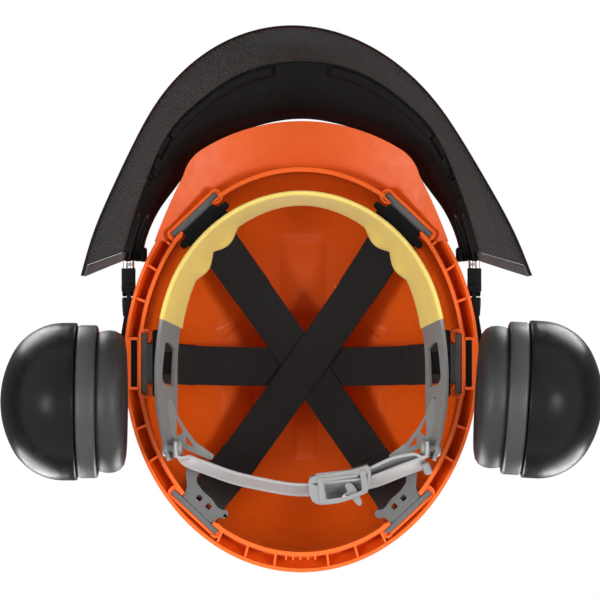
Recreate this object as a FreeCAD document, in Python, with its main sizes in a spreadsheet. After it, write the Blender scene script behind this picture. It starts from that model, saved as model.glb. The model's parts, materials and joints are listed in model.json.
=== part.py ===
# A forestry hard hat: shell with its suspension, lowered mesh visor and two ear muffs.
# Origin: middle of the head opening in the plane of the shell's rim. Front is -Y, up is +Z,
# the wearer's left is +X. All lengths are millimetres, all angles degrees.
import FreeCAD, Part
import math
import os
import Sketcher
from FreeCAD import Placement, Rotation, Vector

doc = FreeCAD.newDocument("forestry_hard_hat")
sheet = doc.addObject("Spreadsheet::Sheet", "sizes")

SIZES = (
    # shell: the plan is an oval, made as a circle and stretched along Y
    ("rim_radius", 110.4), ("plan_stretch", 1.186), ("plan_centre", -5.0),
    ("rim_width", 8.3), ("dome_wall", 2.3), ("crown_height", 142.0), ("spring_height", 34.0),
    ("lip_wall", 2.0), ("waist_inset", 3.2), ("waist_height", 25.0),
    ("shoulder_height", 39.0), ("pocket_depth", 15.0), ("pocket_roof", 1.5), ("rib_wall", 1.4),
    # peak
    ("peak_root", -80.0), ("peak_root_half", 91.6), ("peak_reach", 155.5),
    ("peak_corner_half", 73.5), ("peak_corner_y", -121.5), ("peak_front_half", 62.0),
    ("peak_front_y", -137.5), ("peak_wall", 2.6), ("peak_bend_radius", 220.0),
    ("peak_root_height", 22.0), ("peak_drop_angle", 7.0),
    # suspension keys and their sockets
    ("key_length", 37.4), ("key_wall", 3.6), ("key_height", 18.0), ("key_base", 3.0),
    ("stem_width", 25.0), ("stem_length", 5.2), ("socket_wall", 2.0), ("key_play", 0.15),
    ("front_key_inset", 0.1), ("front_key_bearing", -49.2), ("front_key_turn", 43.4),
    ("side_key_inset", 4.3), ("side_key_bearing", 0.5), ("side_key_turn", 90.0),
    ("rear_key_inset", -1.0), ("rear_key_bearing", 49.9), ("rear_key_turn", 137.0),
    # webbing
    ("web_width", 25.0), ("web_wall", 1.3), ("crown_space", 37.7), ("web_gap", 0.3),
    ("web_straight", 16.0), ("web_flat", 34.0), ("web_skew_gap", 2.0),
    # headband and sweatband
    ("band_wall", 2.2), ("band_low", -12.0), ("band_high", 22.0),
    ("band_low_half", 88.6), ("band_low_front", 108.8), ("band_high_half", 77.4),
    ("band_high_front", 103.6), ("band_centre", -9.0), ("band_tail_y", 55.0),
    ("sweat_wall", 3.0), ("sweat_gap", 0.9), ("sweat_start", 0.22),
    # hangers
    ("hanger_wall", 1.6), ("hanger_low", 3.0), ("hanger_high", 21.5),
    ("hanger_length", 40.0), ("front_hanger_offset", 14.2), ("side_hanger_offset", 8.4),
    ("rear_hanger_offset", 13.0),
    # accessory slot and carrier
    ("slot_inset", 0.15), ("slot_width", 3.95), ("slot_front", -18.6), ("slot_rear", 10.6),
    ("slot_wall", 1.8), ("carrier_play", 0.25), ("tongue_base", 5.0), ("cap_base", 34.6),
    ("cap_wall", 3.4), ("leg_gap", 0.5), ("leg_wall", 2.6), ("leg_base", 11.0),
    # visor pivot
    ("pivot_y", -52.0), ("pivot_z", 18.0), ("pivot_pin_radius", 1.5), ("eye_radius", 6.0),
    ("eye_inset", 3.4), ("eye_wall", 2.2), ("fork_gap", 0.3), ("fork_wall", 2.6),
    ("pin_play", 0.05), ("cheek_half", 4.0), ("nose_half", 5.0), ("nose_near", 7.0),
    ("nose_far", 11.0), ("clip_start", 9.0), ("clip_inset", 1.9), ("clip_tie", 2.0),
    # visor
    ("frame_wall", 2.6), ("frame_foot_y", -68.0),
    ("mesh_base", -158.0), ("mesh_wall", 0.8), ("mesh_columns", 12), ("mesh_rows", 5),
    ("mesh_bar", 3.0), ("trim_wall", 2.6), ("trim_width", 6.5), ("clip_radius", 1.4),
    # ear muffs
    ("bail_radius", 1.6), ("bail_offset", 5.1), ("bail_z", 20.0), ("bail_top", 33.0),
    ("bail_front", -22.0), ("bail_rear", 14.0), ("bail_bend", 3.0), ("bail_end", 3.5),
    ("barrel_wall", 3.4), ("barrel_end", 2.0),
    ("cup_reach", 44.5), ("leg_spread", 9.0),
    ("face_inset", 3.4), ("cup_y", 18.4), ("cup_z", -52.0), ("cushion_depth", 17.0),
    ("cushion_radius", 43.6), ("cushion_opening", 25.0), ("cushion_round", 7.5),
    ("ring_depth", 12.2), ("ring_radius", 46.6), ("ring_wall", 4.0),
    ("cup_radius", 48.0), ("cup_depth", 47.1), ("cup_wall", 3.0), ("foam_depth", 8.0),
    ("slider_half", 13.0), ("slider_depth", 12.0), ("slider_base", 6.0),
    ("slider_height", 14.0), ("cup_pin_z", 1.0), ("cup_pin_radius", 1.5), ("lug_half", 5.0),
    ("lug_thick", 8.0), ("ear_low", 4.5), ("ear_inset", 0.6), ("ear_gap", 0.3),
    # nape strap and buckle
    ("nape_low", -31.0), ("nape_high", -15.0), ("nape_wall", 2.0), ("nape_y", 48.0),
    ("nape_x", 78.4), ("rivet_radius", 2.5), ("rivet_head", 5.0), ("rivet_cap", 2.3),
    ("rivet_in", 5.4), ("rivet_out", 8.3),
    ("buckle_x", 23.5), ("buckle_y", 72.0), ("buckle_length", 39.0), ("buckle_depth", 15.0),
    ("buckle_low", -33.5), ("buckle_high", -12.5), ("buckle_turn", -7.0),
    ("outer_lane", 3.4), ("inner_lane", -4.0), ("lane_play", 0.9), ("strap_play", 0.3),
    ("lever_pin_radius", 1.2), ("lever_wall", 3.2), ("lever_x", 2.0), ("lever_y", 5.7),
    ("lever_length", 12.5), ("lever_lean", 42.0), ("lever_barrel", 1.8), ("lever_roll", 2.2),
)
for row, (name, value) in enumerate(SIZES, start=1):
    sheet.set(f"A{row}", name)
    sheet.set(f"B{row}", str(value))
    sheet.setAlias(f"B{row}", name)
doc.recompute()


class Sizes:
    """Reads each named size from the sheet."""

    def __getattr__(self, name):
        return float(sheet.get(name))


v = Sizes()

# places that follow from the rim: the dome's wall, the slots, the pivots and the muffs
dome_outer = v.rim_radius - v.rim_width
dome_radius = dome_outer - v.dome_wall
lip_inner = v.rim_radius - v.lip_wall
waist_radius = v.rim_radius - v.waist_inset
slot_inner = dome_outer + v.slot_inset
slot_outer = slot_inner + v.slot_width
leg_inner = v.rim_radius + v.leg_gap
eye_inner = v.rim_radius - v.eye_inset
bail_x = v.rim_radius + v.bail_offset
leg_x = bail_x + v.cup_reach
cup_face = v.rim_radius - v.face_inset
SIDES = (("left", 1), ("right", -1))
UP = Vector(0, 0, 1)
pieces = []


# ---------------------------------------------------------------- helpers

def keep(piece, label):
    piece.Label = label
    pieces.append(piece)
    return piece


def carved(label, shape, place=None):
    """A piece whose shape is worked out here from the sheet's sizes."""
    piece = doc.addObject("Part::Feature", label)
    piece.Shape = shape
    piece.Placement = (place or Placement()).multiply(shape.Placement)
    return keep(piece, label)


def block(x, y, z):
    """A box from three (low, high) pairs in any order."""
    low = Vector(min(x), min(y), min(z))
    return Part.makeBox(max(x) - low.x, max(y) - low.y, max(z) - low.z, low)


def rod(radius, start, end):
    return Part.makeCylinder(radius, (end - start).Length, start, end - start)


def mirrored(point, side):
    return Vector(side * point[0], point[1], point[2])


def smooth(points):
    """A curve through a few points, as a function of 0 to 1 along it."""
    curve = Part.BSplineCurve()
    curve.interpolate([Vector(*p) for p in points])
    first = curve.FirstParameter
    span = curve.LastParameter - first
    return lambda share: curve.value(first + share * span)


def strip(low, high, wall, count=13, start=0.0):
    """A band between two rails; its wall grows to the right of the way from 0 to 1."""
    sections = []
    for index in range(count):
        share = index / (count - 1)
        before = low(max(0.0, share - 0.01))
        after = low(min(1.0, share + 0.01))
        foot = low(share)
        head = high(share)
        normal = (after - before).cross(head - foot).normalize()
        near = normal * start
        far = normal * (start + wall)
        corners = [foot + near, head + near, head + far, foot + far]
        sections.append(Part.makePolygon(corners + corners[:1]))
    return Part.makeLoft(sections, True, False)


def bent_path(points, radius):
    """Straight runs joined by tangent arcs of one radius."""
    edges = []
    last = points[0]
    for before, corner, after in zip(points, points[1:], points[2:]):
        back = (before - corner).normalize()
        ahead = (after - corner).normalize()
        half = back.getAngle(ahead) / 2
        reach = radius / math.tan(half)
        start = corner + back * reach
        end = corner + ahead * reach
        middle_line = (back + ahead).normalize()
        middle = corner + middle_line * (radius / math.sin(half) - radius)
        edges.append(Part.LineSegment(last, start).toShape())
        edges.append(Part.Arc(start, middle, end).toShape())
        last = end
    edges.append(Part.LineSegment(last, points[-1]).toShape())
    return Part.Wire(edges)


def wire_bent(points, radius, wire_radius):
    path = bent_path(points, radius)
    circle = Part.Circle(points[0], points[1] - points[0], wire_radius).toShape()
    return path.makePipeShell([Part.Wire([circle])], True, True)


def origin_plane(body, role):
    return next(f for f in body.Origin.OriginFeatures if f.Role == role)


def rectangle(body, name, plane, left, right, front, rear):
    """A sketched rectangle whose four sides are bound to the sheet."""
    sketch = body.newObject("Sketcher::SketchObject", name)
    sketch.AttachmentSupport = (origin_plane(body, plane), [""])
    sketch.MapMode = "FlatFace"
    corners = [Vector(0, 0), Vector(10, 0), Vector(10, 10), Vector(0, 10)]
    for start, end in zip(corners, corners[1:] + corners[:1]):
        sketch.addGeometry(Part.LineSegment(start, end))
    for line in range(4):
        sketch.addConstraint(Sketcher.Constraint("Coincident", line, 2, (line + 1) % 4, 1))
        kind = "Vertical" if line % 2 else "Horizontal"
        sketch.addConstraint(Sketcher.Constraint(kind, line))
    bounds = (("DistanceX", 0, left), ("DistanceY", 0, front), ("DistanceX", 2, right),
              ("DistanceY", 2, rear))
    for kind, line, rule in bounds:
        number = sketch.addConstraint(Sketcher.Constraint(kind, -1, 1, line, 1, 5.0))
        sketch.setExpression(f"Constraints[{number}]", rule)
    return sketch


def pad(body, name, sketch, length):
    feature = body.newObject("PartDesign::Pad", name)
    feature.Profile = sketch
    feature.setExpression("Length", length)
    sketch.Visibility = False
    return feature


def turned_ring(label, inner, outer, low, high, rounding=None):
    """A ring turned about the body's own Z, with its outer edges rounded if asked."""
    body = doc.addObject("PartDesign::Body", label)
    sketch = rectangle(body, label + "_section", "XZ_Plane", inner, outer, low, high)
    turn = body.newObject("PartDesign::Revolution", label + "_turn")
    turn.Profile = sketch
    turn.ReferenceAxis = (sketch, ["V_Axis"])
    turn.Angle = 360
    if rounding:
        doc.recompute()
        edges = [f"Edge{n}" for n, e in enumerate(turn.Shape.Edges, start=1)
                 if isinstance(e.Curve, Part.Circle)]
        fillet = body.newObject("PartDesign::Fillet", label + "_rounding")
        fillet.Base = (turn, edges)
        fillet.setExpression("Radius", rounding)
    return keep(body, label)


# ---------------------------------------------------------------- shell

def oval(shape):
    """Stretches a turned shape to the shell's oval plan."""
    matrix = FreeCAD.Matrix()
    matrix.scale(1, v.plan_stretch, 1)
    stretched = shape.transformGeometry(matrix)
    stretched.translate(Vector(0, v.plan_centre, 0))
    return stretched


def dome_profile(radius, height, low):
    """The dome's curve from the crown down to the height low, at or above its spring."""
    rise = height - v.spring_height
    base = Vector(0, 0, v.spring_height)
    top = base + UP * rise
    side = base + Vector(radius, 0, 0)
    share = (low - v.spring_height) / rise
    if rise > radius:
        return Part.ArcOfEllipse(Part.Ellipse(top, side, base), 0, math.acos(share)).toShape()
    facing = Part.Ellipse(side, top, base)
    return Part.ArcOfEllipse(facing, math.asin(share), math.pi / 2).toShape()


def turned(edges):
    face = Part.Face(Part.Wire(Part.__sortEdges__(edges)))
    return face.revolve(Vector(0, 0, 0), UP, 360)


def line(start, end):
    return Part.makeLine(Vector(start[0], 0, start[1]), Vector(end[0], 0, end[1]))


def arc(start, middle, end):
    return Part.Arc(*[Vector(p[0], 0, p[1]) for p in (start, middle, end)]).toShape()


def dome_solid(radius, height, low):
    """A filled dome on an upright wall that goes down to the height low."""
    return turned([dome_profile(radius, height, v.spring_height),
                   line((radius, v.spring_height), (radius, low)),
                   line((radius, low), (0, low)), line((0, low), (0, height))])


RIB_BEARINGS = (-37, -28, -18, 19, 29, 61, 71, 81)


def shell_envelope():
    """The whole outside of dome and rim skirt, filled."""
    rise = (v.shoulder_height - v.spring_height) / (v.crown_height - v.spring_height)
    shoulder_radius = dome_outer * math.sqrt(1 - rise ** 2)
    waist = (waist_radius, v.waist_height)
    shoulder = (shoulder_radius, v.shoulder_height)
    skirt_middle = ((v.rim_radius + waist_radius) / 2 + 0.6, v.waist_height / 2)
    shoulder_middle = (
        (waist_radius + shoulder_radius) / 2 + 0.9,
        (v.waist_height + v.shoulder_height) / 2 + 0.7,
    )
    return turned([
        dome_profile(dome_outer, v.crown_height, v.shoulder_height),
        arc(shoulder, shoulder_middle, waist), arc(waist, skirt_middle, (v.rim_radius, 0)),
        line((v.rim_radius, 0), (0, 0)), line((0, 0), (0, v.crown_height)),
    ])


def rim_channel():
    """The space between the dome's wall and the outer skirt."""
    roof = v.pocket_depth
    roof_end = dome_outer + v.pocket_roof
    edges = [
        line((dome_outer, -1), (lip_inner, -1)), line((lip_inner, -1), (lip_inner, 0)),
        arc((lip_inner, 0), (lip_inner - (lip_inner - roof_end) * 0.4, roof * 0.6),
            (roof_end, roof)),
        line((roof_end, roof), (dome_outer, roof)),
        line((dome_outer, roof), (dome_outer, -1)),
    ]
    return turned(edges)


def rim_ribs(envelope):
    ribs = []
    for bearing in RIB_BEARINGS:
        for turn in (bearing, 180 - bearing):
            rib = block((dome_outer - 1, v.rim_radius + 2), (-v.rib_wall / 2, v.rib_wall / 2),
                        (1, v.pocket_depth + 1))
            rib.rotate(Vector(0, 0, 0), UP, turn)
            ribs.append(rib)
    return Part.makeCompound(ribs).common(envelope)


def peak_cylinder(radius):
    """A long cylinder along the peak, dropping towards the front."""
    drop = math.radians(v.peak_drop_angle)
    along = Vector(0, -math.cos(drop), -math.sin(drop))
    crest = Vector(0, v.peak_root, v.peak_root_height)
    start = crest - Vector(0, 0, v.peak_bend_radius) - along * 60
    return Part.makeCylinder(radius, 260, start, along)


def peak_outline():
    """The peak's plan, filled upwards."""
    def flat(x, y):
        return Vector(x, y, -20)

    side_x = (v.peak_root_half + v.peak_corner_half) / 2 + 0.8
    side_y = (v.peak_root + v.peak_corner_y) / 2
    corner_x = (v.peak_corner_half + v.peak_front_half) / 2 + 1.9
    corner_y = (v.peak_corner_y + v.peak_front_y) / 2 - 0.6
    edges = [Part.Arc(flat(v.peak_front_half, v.peak_front_y), flat(0, -v.peak_reach),
                      flat(-v.peak_front_half, v.peak_front_y)).toShape()]
    for _, side in SIDES:
        root = flat(side * v.peak_root_half, v.peak_root)
        corner = flat(side * v.peak_corner_half, v.peak_corner_y)
        front = flat(side * v.peak_front_half, v.peak_front_y)
        edges.append(Part.Arc(root, flat(side * side_x, side_y), corner).toShape())
        edges.append(Part.Arc(corner, flat(side * corner_x, corner_y), front).toShape())
    edges.append(Part.makeLine(flat(-v.peak_root_half, v.peak_root),
                               flat(v.peak_root_half, v.peak_root)))
    face = Part.Face(Part.Wire(Part.__sortEdges__(edges)))
    return face.extrude(Vector(0, 0, 100))


def key_places():
    """Name, side and place of each of the six keys; the place's own +Y points inwards."""
    rows = (("front", v.front_key_inset, v.front_key_bearing, v.front_key_turn),
            ("side", v.side_key_inset, v.side_key_bearing, v.side_key_turn),
            ("rear", v.rear_key_inset, v.rear_key_bearing, v.rear_key_turn))
    places = []
    for where, inset, bearing, turn in rows:
        radius = dome_outer - inset
        x = radius * math.cos(math.radians(bearing))
        y = v.plan_centre + v.plan_stretch * radius * math.sin(math.radians(bearing))
        for name, side in SIDES:
            place = Placement(Vector(side * x, y, v.key_base), Rotation(UP, side * turn))
            places.append((where, name, side, place))
    return places


def socket_shapes():
    """The blocks that hold the keys, and the spaces cut for key heads and stems."""
    half = v.key_length / 2
    deep = v.key_wall / 2
    wall = v.socket_wall
    top = v.key_height + v.key_play
    solid = block((-half - wall, half + wall), (-deep - wall, deep + wall), (0, top + wall))
    head = block((-half - v.key_play, half + v.key_play),
                 (-deep - v.key_play, deep + v.key_play), (-30, top))
    stem_half = v.stem_width / 2 + 2 * v.key_play
    stem = block((-stem_half, stem_half), (0, 16), (-30, top))
    blocks = []
    spaces = []
    for _, _, _, place in key_places():
        blocks.append(solid.transformed(place.toMatrix()))
        spaces.append(head.fuse(stem).transformed(place.toMatrix()))
    return blocks, spaces


def slot_shapes():
    """Walls round the two accessory slots, and the slots themselves."""
    walls = []
    voids = []
    for _, side in SIDES:
        across = (side * (dome_outer - 0.5), side * v.rim_radius)
        along = (v.slot_front - v.slot_wall, v.slot_rear + v.slot_wall)
        walls.append(block(across, along, (0.6, v.shoulder_height)))
        across = (side * slot_inner, side * slot_outer)
        voids.append(block(across, (v.slot_front, v.slot_rear), (-5, 60)))
    return walls, voids


def shell_shape():
    envelope = shell_envelope()
    bowl = envelope.cut(dome_solid(dome_radius, v.crown_height - v.dome_wall, -5))
    bowl = bowl.cut(rim_channel()).fuse(rim_ribs(envelope).cut(
        dome_solid(dome_radius, v.crown_height - v.dome_wall, -5)))
    bowl = oval(bowl)
    envelope = oval(envelope)
    hollow = oval(dome_solid(dome_radius, v.crown_height - v.dome_wall, -25))
    outside = oval(dome_solid(dome_outer, v.crown_height, -25))
    under = peak_cylinder(v.peak_bend_radius)
    front = block((-130, 130), (v.peak_root, -200), (-20, 60))
    bowl = bowl.cut(under.common(front).cut(outside))
    peak = peak_outline().common(peak_cylinder(v.peak_bend_radius + v.peak_wall))
    peak = peak.cut(under).cut(hollow)
    walls, voids = slot_shapes()
    blocks, spaces = socket_shapes()
    added = [solid.common(envelope) for solid in blocks + walls]
    shell = bowl.fuse([peak] + added)
    return shell.cut(voids + spaces)


carved("shell", shell_shape())


# ---------------------------------------------------------------- keys and webbing

def make_key(label, place):
    """A flat head that slides up into its socket, with a stem for the webbing."""
    body = doc.addObject("PartDesign::Body", label)
    head = rectangle(body, label + "_head", "XY_Plane", "-sizes.key_length / 2",
                     "sizes.key_length / 2", "-sizes.key_wall / 2", "sizes.key_wall / 2")
    stem = rectangle(body, label + "_stem", "XY_Plane", "-sizes.stem_width / 2",
                     "sizes.stem_width / 2", "0", "sizes.key_wall / 2 + sizes.stem_length")
    pad(body, label + "_head_pad", head, "sizes.key_height")
    body.Tip = pad(body, label + "_stem_pad", stem, "sizes.key_height")
    body.Placement = place
    keep(body, label)


for where, name, _, place in key_places():
    make_key(f"key_{where}_{name}", place)

stem_reach = v.key_wall / 2 + v.stem_length


def webbing(start, end, crown):
    """A tape in one upright plane: up from a stem, over the crown, down to the other."""
    span = end - start
    middle = (start + end) / 2
    along = span / span.Length
    across = along.cross(UP)
    rise = crown - v.key_base - v.web_straight
    edges = []
    for grow in (0.0, -v.web_wall):
        half = span.Length / 2 + grow
        top = rise + grow
        flat = v.web_flat
        for sign in (-1, 1):
            base = middle + UP * v.web_straight + along * sign * flat
            ellipse = Part.Ellipse(base + UP * top, base + along * sign * (half - flat), base)
            edges.append(Part.ArcOfEllipse(ellipse, 0, math.pi / 2).toShape())
            foot = base + along * sign * (half - flat)
            edges.append(Part.makeLine(foot, foot - UP * v.web_straight))
        crest = middle + UP * (v.web_straight + top)
        edges.append(Part.makeLine(crest - along * flat, crest + along * flat))
    for sign in (-1, 1):
        foot = middle + along * sign * span.Length / 2
        edges.append(Part.makeLine(foot, foot - along * sign * v.web_wall))
    face = Part.Face(Part.Wire(Part.__sortEdges__(edges)))
    tape = face.extrude(across * v.web_width)
    tape.translate(across * -v.web_width / 2)
    return tape


def stem_end(where, side, gap):
    """Where a webbing end lies against the inner face of its key's stem."""
    place = next(p[3] for p in key_places() if p[0] == where and p[2] == side)
    return place.multVec(Vector(0, stem_reach + gap, 0))


step = v.web_wall + v.web_gap
web_crown = v.crown_height - v.dome_wall - v.crown_space
carved("webbing_side", webbing(stem_end("side", -1, v.web_gap), stem_end("side", 1, v.web_gap),
                               web_crown))
for layer, (name, side) in enumerate(SIDES, start=1):
    carved(f"webbing_front_{name}", webbing(
        stem_end("front", side, v.web_skew_gap), stem_end("rear", -side, v.web_skew_gap),
        web_crown - step * (3 - layer)))


# ---------------------------------------------------------------- headband and sweatband

def band_rail(half, front, height, tail_half, tail_height):
    """Half-way round the head from the right tail over the brow to the left tail."""
    depth = front + v.band_centre
    side_drop = (height * 3 + tail_height) / 4
    right = [(-tail_half, v.band_tail_y, tail_height), (-half, 18, side_drop),
             (-half, v.band_centre, height)]
    brow = []
    for turn in (150, 120, 90, 60, 30):
        angle = math.radians(turn)
        brow.append((half * math.cos(angle), v.band_centre - depth * math.sin(angle), height))
    left = [(-x, y, z) for x, y, z in reversed(right)]
    return smooth(right + brow + left)


def shifted(rail, offset, lift=0.0):
    """A rail moved inwards, square to its own way, and up."""
    def moved(share):
        way = rail(min(1.0, share + 0.01)) - rail(max(0.0, share - 0.01))
        inward = Vector(-way.y, way.x, 0).normalize()
        return rail(share) + inward * offset + UP * lift
    return moved


rivet_z = (v.nape_low + v.nape_high) / 2


def across_rivet(side, radius, near, far):
    """A rod on the rivet's line, from near to far outside the strap's inner face."""
    return rod(radius, Vector(side * (v.nape_x + near), v.nape_y, rivet_z),
               Vector(side * (v.nape_x + far), v.nape_y, rivet_z))


band_foot = band_rail(v.band_low_half, v.band_low_front, v.band_low, 80.6, -30)
band_head = band_rail(v.band_high_half, v.band_high_front, v.band_high, 79.0, -14)
band = strip(band_foot, band_head, v.band_wall, 25)
for _, side in SIDES:
    band = band.cut(across_rivet(side, v.rivet_radius + v.pin_play, -20, 20))
carved("headband", band)


def cut_range(rail, low, high):
    return lambda share: rail(low + share * (high - low))


sweat_foot = cut_range(shifted(band_foot, v.sweat_gap), v.sweat_start, 1 - v.sweat_start)
sweat_head = cut_range(shifted(band_head, v.sweat_gap, 2.5), v.sweat_start, 1 - v.sweat_start)


def reversed_rail(rail):
    return lambda share: rail(1 - share)


carved("sweatband", strip(reversed_rail(sweat_foot), reversed_rail(sweat_head),
                          v.sweat_wall, 19))

# ---------------------------------------------------------------- hangers

def hanger(offset, length, reach, windows=False):
    """A plate parallel to its key, with a shelf at its top towards the headband."""
    half = length / 2
    near = offset
    far = offset + v.hanger_wall
    low = v.hanger_low - v.key_base
    high = v.hanger_high - v.key_base
    plate = block((-half, half), (near, far), (low, high))
    shelf = block((-7, 7), (near, far + reach), (high - v.hanger_wall, high))
    shape = plate.fuse(shelf)
    if windows:
        for x in (-8, 8):
            shape = shape.cut(block((x - 2.2, x + 2.2), (near - 1, far + 1), (5, 10)))
    return shape.removeSplitter()


for where, name, side, place in key_places():
    if where == "front":
        plate = hanger(v.front_hanger_offset, v.hanger_length, 3.4)
    elif where == "side":
        plate = hanger(v.side_hanger_offset + 0.4, v.hanger_length + 2, 6.8)
    else:
        plate = hanger(v.rear_hanger_offset, v.hanger_length - 8, 4.0, True)
    carved(f"hanger_{where}_{name}", plate, place)


# ---------------------------------------------------------------- accessory carriers

def carrier_shape(side):
    """A tongue in the slot, a cap over the shoulder, and a leg with two bearings."""
    front = v.slot_front + v.carrier_play
    rear = v.slot_rear - v.carrier_play
    inner = slot_inner + v.carrier_play
    outer = slot_outer - v.carrier_play
    leg_outer = leg_inner + v.leg_wall
    top = v.cap_base + v.cap_wall
    tongue = block((inner, outer), (front, rear), (v.tongue_base, top))
    cap = block((inner, leg_outer), (front, rear), (v.cap_base, top))
    leg = block((leg_inner, leg_outer), (front, rear), (v.leg_base, top))
    bearing = v.bail_radius + v.barrel_wall
    barrel = block((leg_inner, bail_x + bearing - 1), (front + v.barrel_end, rear),
                   (v.bail_z - bearing, v.bail_z + bearing))
    eye_outer = eye_inner + v.eye_wall
    low = v.pivot_z - v.eye_radius
    arm = Part.Face(Part.makePolygon([
        Vector(leg_inner, front + 1, low), Vector(eye_inner, v.pivot_y + 8, low),
        Vector(eye_inner, v.pivot_y, low), Vector(eye_outer, v.pivot_y, low),
        Vector(eye_outer, v.pivot_y + 8, low), Vector(leg_outer, front + 1, low),
        Vector(leg_inner, front + 1, low)])).extrude(UP * 2 * v.eye_radius)
    eye = rod(v.eye_radius, Vector(eye_inner, v.pivot_y, v.pivot_z),
              Vector(eye_outer, v.pivot_y, v.pivot_z))
    shape = tongue.fuse([cap, leg, barrel, arm, eye])
    bore = rod(v.bail_radius + v.pin_play, Vector(bail_x, front - 1, v.bail_z),
               Vector(bail_x, rear + 1, v.bail_z))
    pivot = rod(v.pivot_pin_radius + v.pin_play,
                Vector(eye_inner - 1, v.pivot_y, v.pivot_z),
                Vector(eye_outer + 1, v.pivot_y, v.pivot_z))
    shape = shape.cut([bore, pivot])
    return shape if side > 0 else shape.mirror(Vector(0, 0, 0), Vector(1, 0, 0))


for name, side in SIDES:
    carved(f"carrier_{name}", carrier_shape(side))


# ---------------------------------------------------------------- visor

def both_sides(points):
    """Mirrors a half outline, given from the middle outwards, to a whole one."""
    rest = [(-x, y, z) for x, y, z in reversed(points[1:])]
    return rest + points


FRAME_EDGE = [(0, -192.5, 2), (38.3, -184.7, 3), (63.1, -168.6, 5), (82.5, -149.0, 7),
              (94.5, -125.0, 9.5), (104.5, -98.0, 12), (112.9, -68.0, 14)]
FRAME_CREST = [(0, -157.6, 26), (23.5, -155.2, 25.7), (48.0, -145.5, 25),
               (66.0, -131.0, 23.5), (79.0, -114.0, 22.3), (88.5, -101.0, 21.6),
               (94.8, -88.6, 21.2), (98.4, -77.0, 21), (99.5, -68.0, 21)]
MESH_EDGE = [(0, -202.4, 0), (33.5, -195.7, 0), (57.5, -181.8, 0), (81.0, -157.4, 0),
             (94.1, -136.4, 0), (109.0, -108.6, 0), (122.3, -80.7, 0), (130.4, -57.4, 0)]

frame_edge = smooth(both_sides(FRAME_EDGE))
frame_crest = smooth(both_sides(FRAME_CREST))
mesh_edge = smooth(both_sides([(x, y, v.mesh_base) for x, y, _ in MESH_EDGE]))


carved("visor_frame", strip(frame_edge, frame_crest, v.frame_wall, 25))


def between(share):
    """The visor's wall: a rail that share of the way down from the frame to its hem."""
    return lambda place: frame_edge(place) * (1 - share) + mesh_edge(place) * share


drop_height = 2 - v.mesh_base
hem_share = 1 - v.trim_width / drop_height
top_share = 0.3 / drop_height
side_share = 0.016
mesh_low = cut_range(between(hem_share), side_share, 1 - side_share)
mesh_high = cut_range(between(top_share), side_share, 1 - side_share)


def mesh_openings():
    """A grid of openings through the visor's wall, with bars left between them."""
    steps = [frame_edge(n / 40) for n in range(41)]
    length = sum((after - before).Length for before, after in zip(steps, steps[1:]))
    columns = int(v.mesh_columns)
    rows = int(v.mesh_rows)
    across = (1 - 2 * side_share) / columns
    down = (hem_share - top_share) / rows
    bar_across = v.mesh_bar / length / 2
    bar_down = v.mesh_bar / drop_height / 2
    openings = []
    for column in range(columns):
        left = side_share + column * across + bar_across
        right = side_share + (column + 1) * across - bar_across
        for row in range(rows):
            upper = top_share + row * down + bar_down
            lower = top_share + (row + 1) * down - bar_down
            openings.append(strip(cut_range(between(lower), left, right),
                                  cut_range(between(upper), left, right),
                                  v.mesh_wall + 2, 3, -1))
    return openings


mesh = strip(mesh_low, mesh_high, v.mesh_wall, 25)
carved("visor_mesh", mesh.cut(mesh_openings()))
carved("visor_hem", strip(between(1.0), between(hem_share + 0.1 / drop_height), v.trim_wall, 25))
for name, low, high in (("right", 0.0, side_share), ("left", 1 - side_share, 1.0)):
    carved(f"visor_edge_{name}", strip(cut_range(between(hem_share), low, high),
                                       cut_range(between(top_share), low, high),
                                       v.trim_wall, 5))


def knuckle_shape(side):
    """A fork that clasps the carrier's eye, with a nose towards the frame."""
    inner_out = eye_inner - v.fork_gap
    outer_in = eye_inner + v.eye_wall + v.fork_gap
    inner_in = inner_out - v.fork_wall
    outer_out = outer_in + v.fork_wall
    parts = []
    for low, high in ((inner_in, inner_out), (outer_in, outer_out)):
        parts.append(rod(v.eye_radius + 0.3, Vector(low, v.pivot_y, v.pivot_z),
                         Vector(high, v.pivot_y, v.pivot_z)))
        parts.append(block((low, high), (v.pivot_y, v.pivot_y - v.clip_start),
                           (v.pivot_z - v.cheek_half, v.pivot_z + v.cheek_half)))
    parts.append(block((inner_in, outer_out), (v.pivot_y - v.nose_near, v.pivot_y - v.nose_far),
                       (v.pivot_z - v.nose_half, v.pivot_z + v.nose_half)))
    shape = parts[0].fuse(parts[1:])
    shape = shape.cut(rod(v.pivot_pin_radius, Vector(inner_in - 1, v.pivot_y, v.pivot_z),
                          Vector(outer_out + 1, v.pivot_y, v.pivot_z)))
    for x in (inner_in + v.clip_inset, outer_out - v.clip_inset):
        shape = shape.cut(rod(v.clip_radius, Vector(x, v.pivot_y - v.clip_start, v.pivot_z),
                              Vector(x, v.frame_foot_y, v.pivot_z)))
    return shape if side > 0 else shape.mirror(Vector(0, 0, 0), Vector(1, 0, 0))


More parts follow.
